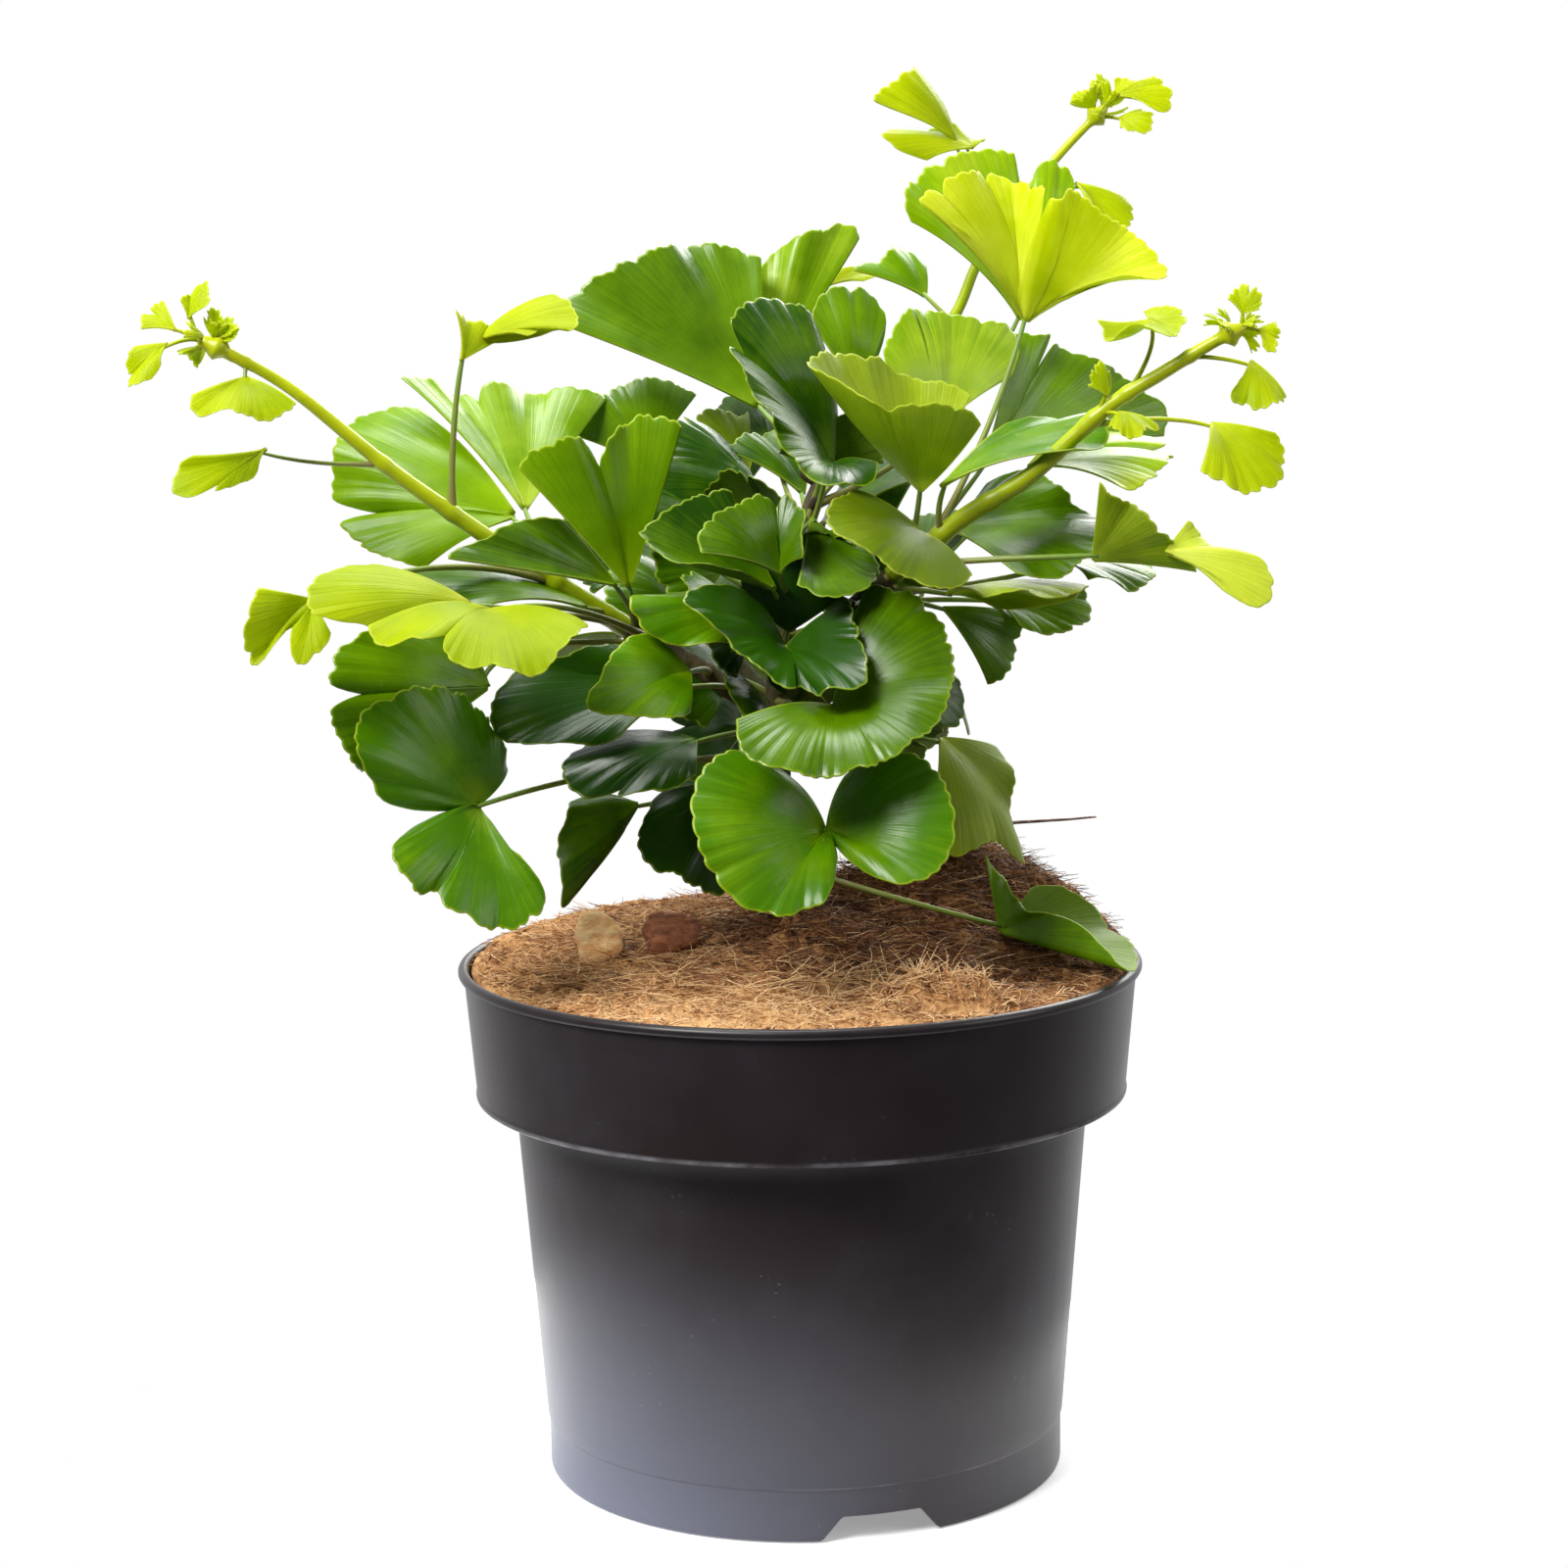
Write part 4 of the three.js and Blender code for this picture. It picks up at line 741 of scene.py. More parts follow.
class Fan:
    """A blade's directions and lengths from its base to its margin, from left (0) to right (1)."""

    def __init__(self, base, margin):
        self.base = np.array(base, float)
        rays = np.array(margin, float) - self.base
        self.lengths = np.linalg.norm(rays, axis=1)
        self.units = rays / self.lengths[:, None]
        turns = np.arccos(np.clip((self.units[1:] * self.units[:-1]).sum(1), -1, 1))
        self.spread = turns.sum()
        self.places = np.r_[0, np.cumsum(turns)] / self.spread

    def through(self, values, s):
        """A smooth run through the values at the fan's places, read at s."""
        i = np.searchsorted(self.places[1:-1], s)
        f = (s - self.places[i]) / (self.places[i + 1] - self.places[i])
        p = np.concatenate([[2 * values[0] - values[1]], values, [2 * values[-1] - values[-2]]])
        f = f[:, None] if values.ndim > 1 else f
        return 0.5 * (2 * p[i + 1] + (p[i + 2] - p[i]) * f
                      + (2 * p[i] - 5 * p[i + 1] + 4 * p[i + 2] - p[i + 3]) * f ** 2
                      + (3 * p[i + 1] - p[i] - 3 * p[i + 2] + p[i + 3]) * f ** 3)

    def ray(self, s):
        """The way from the base to the margin at s."""
        s = np.clip(np.atleast_1d(s), 0, 1)
        unit = self.through(self.units, s)
        unit /= np.linalg.norm(unit, axis=1)[:, None]
        return unit * self.through(self.lengths, s)[:, None]


def add_blade(made, blade, seed, wave=0.03, scallop=1.0, detail=1.0):
    """One blade: rows run from the stalk to the margin over the upper face, round the margin, and
    back along the under face."""
    fan = Fan(blade["base"], blade["margin"])
    chance = np.random.default_rng(seed)
    size = fan.lengths.max()
    arc = fan.spread * fan.lengths.mean()
    columns = int(np.clip(arc / 0.75 * detail, 24, 190))
    clefts = list(blade.get("clefts", []))
    s = set(np.linspace(0, 1, columns + 1).round(5))
    for place, _, width in clefts:
        for near in (0.03, 0.08, 0.16, 0.28, 0.45, 0.7):
            s.update([round(place - near * width, 5), round(place + near * width, 5)])
        s.add(round(place, 5))
    s = np.array(sorted(v for v in s if 0 <= v <= 1))
    t = np.r_[0.025, 0.06, 0.11, np.linspace(0.18, 0.9, 11), 0.95, 0.985, 1.0]
    edge = np.minimum(s, 1 - s)
    reach = np.where(edge < 0.1, 1 - 0.04 * (1 - edge / 0.1) ** 2, 1.0)
    for place, depth, width in clefts:
        reach = reach - depth * np.maximum(0, 1 - np.abs(s - place) / width) ** 1.5
    bumps = max(3.0, arc / chance.uniform(7.5, 10.5))
    warped = s + 0.012 * np.sin(2 * np.pi * (2.3 * s + chance.uniform())) \
        + 0.006 * np.sin(2 * np.pi * (7.1 * s + chance.uniform()))
    big = 1 - np.abs(np.sin(np.pi * (bumps * warped + chance.uniform()))) ** 0.55
    fine = 1 - np.abs(np.sin(np.pi * (2.6 * bumps * warped + chance.uniform()))) ** 0.8
    strength = 0.5 + 0.5 * np.sin(2 * np.pi * (1.7 * s + chance.uniform()))
    tame = np.clip(edge / 0.06, 0.15, 1)
    reach = reach - scallop * tame * (2.6 * big * strength + 1.0 * fine) / size
    ray, middle = fan.ray(s), fan.ray(0.5)
    up = np.cross(fan.ray(np.minimum(1, s + 0.01)), fan.ray(np.maximum(0, s - 0.01)))
    up /= np.linalg.norm(up, axis=1)[:, None]
    waist = (blade.get("waist", 0) * (1 - t) ** 2)[:, None, None]
    rays = ray[None] * (1 - waist) + middle[None] * waist
    lengths = np.linalg.norm(rays, axis=2)
    T = t[:, None]
    lift = lengths * blade.get("bow", 0.08) * 4 * T * (1 - T)
    swell = np.sin(2 * np.pi * (chance.uniform(1.2, 2.2) * s + chance.uniform()))
    pleat = np.sin(2 * np.pi * (chance.uniform(3.5, 5.5) * s + chance.uniform()))
    ruffle = np.sin(2 * np.pi * (bumps * 0.5 * warped + chance.uniform()))
    lift = lift + size * wave * (T ** 2 * swell[None] + 0.16 * T ** 3 * pleat[None]
                                 + 0.6 * T ** 7 * ruffle[None])
    surface = fan.base + rays * (T * reach[None])[:, :, None] + up[None] * lift[:, :, None]
    across = np.gradient(surface, axis=1)
    outward = np.gradient(surface, axis=0)
    normal = np.cross(across, outward)
    normal /= np.linalg.norm(normal, axis=2)[:, :, None] + 1e-12
    half = np.interp(t, [0.02, 0.12, 0.4, 0.95, 1.0],
                     [0.62, 0.42, 0.28, BLADE_HALF, BLADE_HALF * 0.75])
    half = half * min(1.0, 0.55 + size / 60)
    offset = normal * half[:, None, None]
    tip = outward[-1] / (np.linalg.norm(outward[-1], axis=1)[:, None] + 1e-12)
    rim = surface[-1] + tip * BLADE_HALF * 0.9
    grid = np.concatenate([surface + offset, rim[None], (surface - offset)[::-1]])
    rows, n, m = len(grid), len(t), len(s)
    at = np.arange(rows * m).reshape(rows, m)
    quads = np.stack([at[:-1, :-1], at[:-1, 1:], at[1:, 1:], at[1:, :-1]], -1).reshape(-1, 4)
    skins = np.repeat([0] * n + [1] * (rows - 1 - n), m - 1)
    faces = quads.tolist()
    sides = []
    for r in range(n - 1):
        u = rows - 1 - r
        sides.append((at[r, 0], at[r + 1, 0], at[u - 1, 0], at[u, 0]))
        sides.append((at[r + 1, -1], at[r, -1], at[u, -1], at[u - 1, -1]))
    sides.append((at[n - 1, 0], at[n, 0], at[n + 1, 0]))
    sides.append((at[n, -1], at[n - 1, -1], at[n + 1, -1]))
    for j in range(m - 1):
        sides.append((at[0, j + 1], at[0, j], at[-1, j], at[-1, j + 1]))
    faces += [tuple(int(v) for v in face) for face in sides]
    skins = skins.tolist() + [0] * len(sides)
    out = np.concatenate([t, [1.0], t[::-1]])[:, None] * np.ones(m)
    vein = np.ones(rows)[:, None] * (s * arc)[None]
    to_edge = (1 - out) * (lengths[-1] * reach)[None]
    to_side = edge[None] * arc * out
    rimmed = np.minimum(to_edge, to_side)
    tone = blade.get("tone", 0.0) + chance.uniform(-0.06, 0.06)
    made.add(grid.reshape(-1, 3), faces, skins, out=out.ravel(), vein=vein.ravel(),
             rim=rimmed.ravel(), tone=tone)
    return fan


def add_stalk(made, fan, leaf):
    """The stalk: from its stem, bending once, into the blade's base."""
    start = stem_point(leaf["stem"], leaf["at"])
    heading = fan.units.sum(0) / np.linalg.norm(fan.units.sum(0))
    end = fan.base + heading * min(2.2, 0.12 * fan.lengths.max())
    bend = np.array(leaf["via"], float) if "via" in leaf else (start + fan.base) / 2
    if "via" not in leaf:
        bend = bend - heading * 0.12 * np.linalg.norm(end - start) + [0, 0, 1.0]
    f = np.linspace(0, 1, 21)[:, None]
    path = (1 - f) ** 2 * start + 2 * f * (1 - f) * bend + f ** 2 * end
    slim = leaf.get("slim", 1.0)
    radii = slim * np.interp(f[:, 0], [0, 0.06, 0.2, 0.85, 1.0], [1.7, 1.25, 0.9, 0.72, 0.6])
    points, faces, along = swept(path, radii, 10)
    made.add(points, faces, 2, out=along, vein=0.0, rim=STALK_RIM, tone=leaf.get("tone", 0.0))


def leaf_skin(name, deep, light, edge, rough, through, shine, bump=0.2):
    """A leaf's face: deep and light greens, the margin's colour, its roughness, how much light
    comes through, and how much the wax shines."""
    skin, tree, shader, place = new_skin(name)
    out = add_node(tree, "Attribute", attribute_name="out").outputs["Fac"]
    vein = add_node(tree, "Attribute", attribute_name="vein").outputs["Fac"]
    rim = add_node(tree, "Attribute", attribute_name="rim").outputs["Fac"]
    tone = add_node(tree, "Attribute", attribute_name="tone").outputs["Fac"]
    fans = add_node(tree, "CombineXYZ", {"X": vein, "Y": math_of(tree, "MULTIPLY", out, 3.0)})
    streak = noise_of(tree, stretched(tree, fans.outputs[0], (1.1, 0.35, 1.0)), 1.6, 4.0, 0.7)
    cloud = noise_of(tree, place, 38.0, 4.0, 0.6)
    fine = math_of(tree, "SINE", math_of(tree, "MULTIPLY", vein, 2 * math.pi / VEIN_GAP))
    coarse = math_of(tree, "SINE", math_of(tree, "MULTIPLY", vein, math.pi / VEIN_GAP))
    veins = math_of(tree, "ADD", math_of(tree, "MULTIPLY", fine, 0.5),
                    math_of(tree, "MULTIPLY", coarse, 0.5))
    mixed = math_of(tree, "ADD", math_of(tree, "MULTIPLY", cloud, 0.75),
                    math_of(tree, "MULTIPLY", streak, 0.25))
    mixed = math_of(tree, "ADD", mixed, math_of(tree, "MULTIPLY", veins, 0.03))
    mixed = math_of(tree, "ADD", mixed, tone)
    near_base = math_of(tree, "MULTIPLY", mask_of(tree, out, 0.3, 0.0), 0.3)
    mixed = math_of(tree, "ADD", mixed, near_base)
    colour = graded(tree, mixed, (0.28, deep), (0.75, light), (1.0, edge))
    margin = mask_of(tree, rim, 0.55, 0.1)
    colour = layered(tree, math_of(tree, "MULTIPLY", margin, 0.5), colour, edge)
    waxed = math_of(tree, "ADD", math_of(tree, "MULTIPLY", cloud, 0.2), rough - 0.1)
    ridges = bumped(tree, veins, 0.00006, bump)
    ridges = bumped(tree, streak, 0.0004, bump, ridges)
    tree.links.new(colour, shader.inputs["Base Color"])
    tree.links.new(waxed, shader.inputs["Roughness"])
    tree.links.new(ridges, shader.inputs["Normal"])
    shader.inputs["Specular IOR Level"].default_value = shine
    glow = add_node(tree, "HueSaturation", {"Color": colour, "Saturation": 1.1, "Value": 1.3})
    lit = add_node(tree, "BsdfTranslucent", {"Color": glow.outputs[0], "Normal": ridges})
    both = add_node(tree, "MixShader", {0: through})
    tree.links.new(shader.outputs[0], both.inputs[1])
    tree.links.new(lit.outputs[0], both.inputs[2])
    tree.links.new(both.outputs[0], tree.nodes["Material Output"].inputs["Surface"])
    return skin


# The upper and under face of each kind of leaf.
GREENS = {
    "mature": (
        leaf_skin("mature_upper", srgb(40, 84, 0), srgb(124, 168, 0), srgb(182, 208, 50),
                  0.25, 0.26, 0.5),
        leaf_skin("mature_under", srgb(84, 116, 16), srgb(132, 162, 36), srgb(176, 194, 50),
                  0.5, 0.3, 0.25, 0.5),
    ),
    "bright": (
        leaf_skin("bright_upper", srgb(82, 136, 0), srgb(154, 192, 0), srgb(208, 222, 50),
                  0.27, 0.32, 0.42),
        leaf_skin("bright_under", srgb(112, 150, 16), srgb(160, 190, 40), srgb(196, 212, 60),
                  0.5, 0.34, 0.25, 0.5),
    ),
    "young": (
        leaf_skin("young_upper", srgb(158, 182, 0), srgb(204, 214, 4), srgb(232, 236, 90),
                  0.4, 0.44, 0.16, 0.4),
        leaf_skin("young_under", srgb(180, 200, 10), srgb(212, 222, 30), srgb(230, 234, 80),
                  0.45, 0.5, 0.2, 0.4),
    ),
    "dull": (
        leaf_skin("dull_upper", srgb(112, 138, 6), srgb(172, 194, 30), srgb(214, 224, 70),
                  0.38, 0.36, 0.34, 0.4),
        leaf_skin("dull_under", srgb(108, 134, 8), srgb(164, 186, 30), srgb(208, 220, 70),
                  0.42, 0.36, 0.3, 0.4),
    ),
}
stalk_skin, tree, shader, place = new_skin("leaf_stalk")
out = add_node(tree, "Attribute", attribute_name="out").outputs["Fac"]
lines = noise_of(tree, place, 160.0, 3.0)
mixed = math_of(tree, "ADD", math_of(tree, "MULTIPLY", out, 0.6),
                math_of(tree, "MULTIPLY", lines, 0.4))
colour = graded(tree, mixed, (0.1, srgb(124, 106, 62)), (0.45, srgb(128, 138, 58)),
                (0.85, srgb(112, 152, 46)))
tree.links.new(colour, shader.inputs["Base Color"])
shader.inputs["Roughness"].default_value = 0.42
tree.links.new(bumped(tree, lines, 0.0004, 0.6), shader.inputs["Normal"])

# Each leaf: its green, the stem it grows from and how far along, the base of its blade and the
# points of its margin from left to right in millimetres. via bends the stalk, clefts are (place,
# depth, width) along the margin, bow and wave curve the blade, and tone makes it lighter or darker.
# A high tone on the glossiest, best-lit leaves is partly a painted highlight of their sheen, and a
# low tone on leaves low in the crown and under others is partly painted shade.
LEAVES = [
    dict(name="leaf_left_bright", green="bright", stem="shoot_left", at=0.22, base=(-76, 4, 266),
         margin=[(-102, -6, 253), (-122, 2, 261), (-128, 10, 275), (-122, 20, 293),
         (-106, 28, 297)], clefts=[(0.42, 0.22, 0.05)], tone=0.1),
    # Its high tone is partly a painted highlight, the sheen of its wax.
    dict(name="leaf_left_arrow", green="mature", stem="shoot_left", at=0.18, base=(-74, 6, 267),
         margin=[(-110, 18, 305), (-101, 24, 304), (-93, 28, 300), (-85, 32, 301),
         (-69, 38, 300), (-52, 44, 298)], clefts=[(0.36, 0.1, 0.06)], bow=0.04, tone=0.25),
    dict(name="leaf_left_back", green="mature", stem="trunk", at=0.8, base=(-43, 40, 278),
         margin=[(-66, 36, 288), (-56, 44, 297), (-45, 52, 302), (-27, 58, 298)], tone=0.1),
    dict(name="leaf_left_heart", green="bright", stem="branch_left", at=0.92,
         base=(-45, -14, 247), margin=[(-74, -26, 282), (-61, -22, 289), (-52, -16, 287),
         (-42, -12, 294), (-30, -8, 292)], clefts=[(0.47, 0.16, 0.1)], bow=0.03, tone=-0.02),
    dict(name="leaf_left_edge", green="mature", stem="branch_left", at=0.98,
         base=(-47, -26, 249), margin=[(-92, -52, 259), (-82, -42, 264), (-70, -34, 268),
         (-61, -31, 268)], bow=0.02, tone=-0.05),
    dict(name="leaf_left_glossy", green="mature", stem="shoot_left", at=0.05,
         base=(-56, -16, 242), margin=[(-86, -38, 245), (-104, -34, 251), (-94, -12, 254),
         (-75, 4, 249)], tone=-0.05),
    dict(name="leaf_yellow_front", green="young", stem="branch_left", at=0.85,
         base=(-79, -56, 246), via=(-62, -32, 249), margin=[(-52, -70, 242), (-61, -84, 237),
         (-78, -94, 235), (-93, -94, 239), (-108, -84, 246)], clefts=[(0.72, 0.22, 0.04)],
         bow=0.1, tone=-0.08, wave=0.06),
    dict(name="leaf_yellow_curled", green="young", stem="shoot_left", at=0.02,
         base=(-84, -52, 247), via=(-66, -30, 243), margin=[(-105, -80, 243), (-119, -88, 247),
         (-122, -84, 254), (-115, -68, 259), (-102, -52, 254)]),
    dict(name="leaf_yellow_drooping", green="young", stem="shoot_left", at=0.17,
         base=(-122, -72, 251), via=(-96, -36, 262), margin=[(-117, -80, 243), (-124, -84, 235),
         (-129, -84, 243), (-136, -86, 236), (-138, -88, 244), (-134, -84, 255)],
         clefts=[(0.42, 0.3, 0.08)]),
    dict(name="young_leaf_hanging", green="young", stem="shoot_left", at=0.9,
         base=(-143, -36, 306), margin=[(-129, -40, 299), (-136, -46, 295), (-145, -50, 297),
         (-153, -52, 297), (-155, -50, 302)], slim=0.7),
    dict(name="young_leaf_pale", green="young", stem="shoot_left", at=0.58,
         base=(-139, -30, 287), via=(-127, -30, 282), margin=[(-141, -36, 282), (-148, -40, 277),
         (-159, -44, 275), (-162, -44, 280), (-157, -42, 286)], clefts=[(0.45, 0.2, 0.06)],
         slim=0.7),
    dict(name="young_leaf_twisted", green="young", stem="shoot_left", at=0.42,
         base=(-88, -24, 309), via=(-91, -24, 294), margin=[(-89, -24, 323), (-86, -18, 320),
         (-80, -14, 318), (-79, -15, 314)], lobes=[dict(base=(-84, -18, 314),
         margin=[(-69, -6, 324), (-64, -8, 326), (-56, -14, 321), (-59, -20, 317),
         (-66, -18, 318), (-71, -22, 316), (-77, -20, 317)])]),
    dict(name="leaf_left_upper", green="mature", stem="branch_left", at=0.8,
         base=(-81, -40, 224), via=(-82, -24, 238), margin=[(-115, -58, 204), (-118, -62, 214),
         (-121, -62, 228), (-117, -54, 238), (-101, -44, 241), (-86, -36, 234)],
         clefts=[(0.27, 0.2, 0.05)], bow=0.05, tone=0.02),
    dict(name="leaf_left_lower", green="bright", stem="trunk", at=0.46, base=(-84, -49, 194),
         via=(-55, -26, 201), margin=[(-72, -58, 182), (-66, -62, 174), (-67, -66, 167),
         (-76, -70, 164), (-90, -76, 171), (-101, -78, 182), (-104, -72, 193), (-108, -70, 202),
         (-113, -72, 212), (-111, -66, 222), (-97, -56, 227), (-83, -44, 219), (-76, -36, 202)],
         clefts=[(0.24, 0.12, 0.03), (0.4, 0.7, 0.05)], tone=-0.22),
    dict(name="leaf_back_great", green="mature", stem="trunk", at=0.97, base=(-9, 40, 293),
         margin=[(-68, 26, 319), (-60, 34, 328), (-43, 46, 337), (-22, 57, 341), (-9, 60, 337)],
         bow=0.04, tone=0.12),
    dict(name="leaf_back_peak", green="mature", stem="trunk", at=0.99, base=(-7, 62, 302),
         margin=[(-10, 68, 333), (4, 68, 343), (16, 72, 346), (21, 74, 343)], bow=0.03,
         tone=0.3),
    dict(name="leaf_centre_tall", green="mature", stem="trunk", at=0.82, base=(10, -5, 279),
         margin=[(23, -31, 281), (15, -38, 277), (1, -34, 281), (-10, -26, 297), (-17, -16, 313),
         (-12, -6, 324), (5, 6, 321), (10, 8, 299)], clefts=[(0.66, 0.18, 0.03)], tone=-0.1),
    dict(name="leaf_centre_dark", green="mature", stem="branch_top", at=0.6, base=(17, 26, 295),
         margin=[(6, 26, 316), (8, 32, 325), (20, 38, 328), (26, 38, 319), (24, 34, 309)],
         tone=0.08),
    # Its high tone is partly a painted highlight, the sheen of its wax.
    dict(name="leaf_centre_glossy", green="mature", stem="shoot_top", at=0.04, base=(39, 8, 288),
         margin=[(24, 2, 301), (27, 10, 315), (36, 18, 323), (45, 24, 319), (54, 28, 318),
         (63, 30, 315), (62, 22, 303)], clefts=[(0.5, 0.08, 0.08)], tone=0.36),
    dict(name="leaf_centre_cup", green="dull", stem="shoot_right", at=0.05, base=(34, -20, 273),
         margin=[(49, -46, 292), (38, -52, 297), (27, -52, 296), (15, -46, 302), (5, -30, 309),
         (16, -8, 309), (34, 2, 303), (49, 0, 300)], clefts=[(0.25, 0.06, 0.03)], bow=-0.04,
         tone=0.2),
    dict(name="leaf_right_folded", green="bright", stem="shoot_right", at=0.16,
         base=(38, -27, 274), margin=[(58, -6, 290), (71, -2, 292), (84, -12, 292),
         (76, -36, 283)], tone=-0.15),
    dict(name="leaf_top_back", green="bright", stem="trunk", at=0.91, base=(65, 39, 317),
         via=(46, 31, 281), margin=[(32, 22, 346), (31, 24, 352), (38, 32, 360), (51, 40, 365),
         (64, 44, 364), (68, 44, 360), (75, 46, 363), (80, 48, 360), (81, 46, 351)],
         clefts=[(0.71, 0.5, 0.06)], tone=0.2),
    dict(name="leaf_top_front", green="young", stem="shoot_right", at=0.12, base=(64, 11, 317),
         via=(54, 0, 286), margin=[(46, -2, 342), (34, -2, 348), (38, 2, 354), (48, 10, 358),
         (55, 16, 359), (62, 16, 356), (67, 8, 354), (71, -8, 351), (75, -4, 353), (85, 2, 346),
         (94, 4, 340), (101, -2, 331), (90, -6, 329)], clefts=[(0.13, 0.08, 0.03),
         (0.27, 0.08, 0.03), (0.51, 0.6, 0.05)], tone=0.3),
    dict(name="leaf_top_pale", green="bright", stem="shoot_top", at=0.34, base=(39, 58, 324),
         margin=[(17, 52, 332), (26, 58, 336), (32, 64, 339), (39, 64, 333)]),
    dict(name="leaf_grey_back", green="dull", stem="trunk", at=0.86, base=(-13, 46, 274),
         margin=[(-27, 44, 286), (-26, 50, 293), (-18, 54, 292), (-9, 58, 293)]),
    dict(name="leaf_right_high", green="mature", stem="branch_right", at=0.9, base=(53, 22, 278),
         via=(38, 8, 258), margin=[(62, 32, 314), (72, 40, 313), (81, 44, 309), (96, 50, 300),
         (107, 50, 293), (109, 46, 285)], clefts=[(0.28, 0.28, 0.04)], bow=0.04, tone=0.2),
    # Its high tone is partly a painted highlight, the sheen of its wax.
    dict(name="leaf_right_pale", green="bright", stem="shoot_right", at=0.3, base=(63, -6, 278),
         margin=[(75, 16, 283), (88, 22, 285), (101, 16, 285), (104, 4, 281), (99, -12, 277),
         (88, -24, 274)], clefts=[(0.42, 0.3, 0.04)], tone=0.36),
    dict(name="leaf_right_big", green="mature", stem="branch_right", at=0.95, base=(43, 2, 261),
         margin=[(54, 10, 274), (66, 14, 276), (78, 8, 268), (90, -2, 261), (77, -20, 253),
         (60, -24, 250)], bow=0.04, tone=0.0),
    dict(name="leaf_right_young", green="dull", stem="shoot_right", at=0.04, base=(78, -34, 255),
         via=(50, -34, 256), margin=[(107, -32, 252), (100, -36, 259), (86, -38, 271),
         (80, -38, 277)], bow=0.02, tone=0.05, lobes=[dict(base=(97, -35, 257),
         margin=[(104, -30, 265), (111, -34, 256), (121, -38, 256), (125, -42, 250),
         (121, -46, 243), (112, -45, 247)], tone=0.45)]),
    dict(name="leaf_right_slender", green="mature", stem="branch_right", at=0.85,
         base=(72, 10, 251), via=(45, 4, 244), margin=[(100, 26, 249), (95, 0, 245),
         (80, -8, 248)], clefts=[(0.3, 0.3, 0.12)], tone=0.05),
    dict(name="leaf_right_scalloped", green="mature", stem="branch_right", at=0.7,
         base=(53, 12, 241), margin=[(81, 22, 244), (83, 16, 236), (74, 8, 231), (63, 2, 234)],
         tone=-0.05),
    dict(name="leaf_right_under", green="dull", stem="branch_right", at=0.92,
         base=(40, -16, 245), margin=[(55, -10, 241), (79, -8, 244), (64, -30, 246),
         (50, -36, 247)], tone=0.1),
    dict(name="leaf_right_hanging", green="mature", stem="branch_right", at=0.8,
         base=(40, 2, 240), margin=[(60, 11, 238), (63, 10, 231), (60, 8, 223), (54, 4, 217)],
         tone=-0.1),
    dict(name="leaf_right_olive", green="dull", stem="trunk", at=0.48, base=(40, 16, 202),
         margin=[(59, 30, 197), (61, 24, 180), (64, 14, 166), (53, 2, 173), (43, -6, 172),
         (36, -4, 179)], clefts=[(0.62, 0.12, 0.08)], tone=0.02),
    dict(name="leaf_on_rim", green="mature", stem="trunk", at=0.26, base=(55, -10, 151),
         via=(30, -14, 160), margin=[(51, -6, 173), (54, -8, 167), (60, -13, 161),
         (66, -19, 158), (85, -46, 147), (90, -22, 149), (87, -8, 152), (77, 2, 160),
         (65, 0, 162)], bow=0, tone=0.06),
    dict(name="leaf_heart", green="mature", stem="trunk", at=0.72, base=(-4, -34, 252),
         margin=[(-25, -52, 260), (-23, -44, 268), (-16, -36, 271), (-4, -30, 274),
         (3, -38, 267), (1, -44, 258)], clefts=[(0.5, 0.2, 0.07)], tone=-0.08),
    dict(name="leaf_under_heart", green="mature", stem="trunk", at=0.66, base=(-5, -22, 247),
         margin=[(-15, -46, 254), (-31, -42, 258), (-42, -32, 262), (-31, -24, 271),
         (-18, -16, 274)], bow=0, tone=-0.1),
    dict(name="leaf_centre_hollow", green="mature", stem="trunk", at=0.78, base=(4, -22, 267),
         margin=[(18, -26, 260), (22, -40, 252), (12, -52, 248), (0, -50, 250)], bow=-0.1,
         tone=-0.1),
    dict(name="leaf_turned_over", green="dull", stem="branch_right", at=0.99,
         base=(34, -24, 262), margin=[(46, -46, 251), (37, -56, 250), (23, -58, 257),
         (11, -54, 263), (9, -44, 271), (16, -34, 275)], tone=-0.22),
    dict(name="leaf_centre_butterfly", green="mature", stem="trunk", at=0.6, base=(-3, -36, 233),
         margin=[(15, -42, 246), (16, -52, 239), (17, -64, 228), (8, -66, 226), (5, -64, 223),
         (-7, -62, 227), (-17, -60, 237), (-24, -60, 245), (-28, -56, 250), (-11, -38, 246)],
         clefts=[(0.44, 0.15, 0.05)], tone=-0.3),
    dict(name="leaf_left_middle", green="bright", stem="trunk", at=0.64, base=(-9, -24, 240),
         margin=[(-19, -46, 234), (-31, -52, 237), (-44, -52, 245), (-39, -40, 247),
         (-28, -28, 249)], tone=-0.2),
    dict(name="leaf_left_small", green="bright", stem="branch_left", at=0.5,
         base=(-28, -44, 228), margin=[(-28, -54, 218), (-40, -62, 219), (-54, -66, 222),
         (-51, -60, 230), (-38, -48, 239)], tone=-0.14),
    # Its low tone is partly painted shade under the leaves above.
    dict(name="leaf_left_dark", green="mature", stem="branch_left", at=0.35,
         base=(-29, -20, 221), margin=[(-48, -42, 209), (-66, -44, 209), (-81, -40, 215),
         (-74, -30, 228), (-58, -28, 233), (-44, -22, 233)], tone=-0.5),
    dict(name="leaf_lower_dark", green="mature", stem="trunk", at=0.5, base=(-27, -24, 207),
         margin=[(-27, -44, 199), (-38, -52, 197), (-52, -54, 197), (-62, -48, 202),
         (-56, -32, 207), (-43, -20, 210)], clefts=[(0.34, 0.15, 0.05)], tone=-0.3),
    dict(name="leaf_low_hanging", green="mature", stem="trunk", at=0.38, base=(-44, -4, 187),
         margin=[(-52, -12, 177), (-64, -20, 161), (-65, -20, 174), (-63, -12, 188),
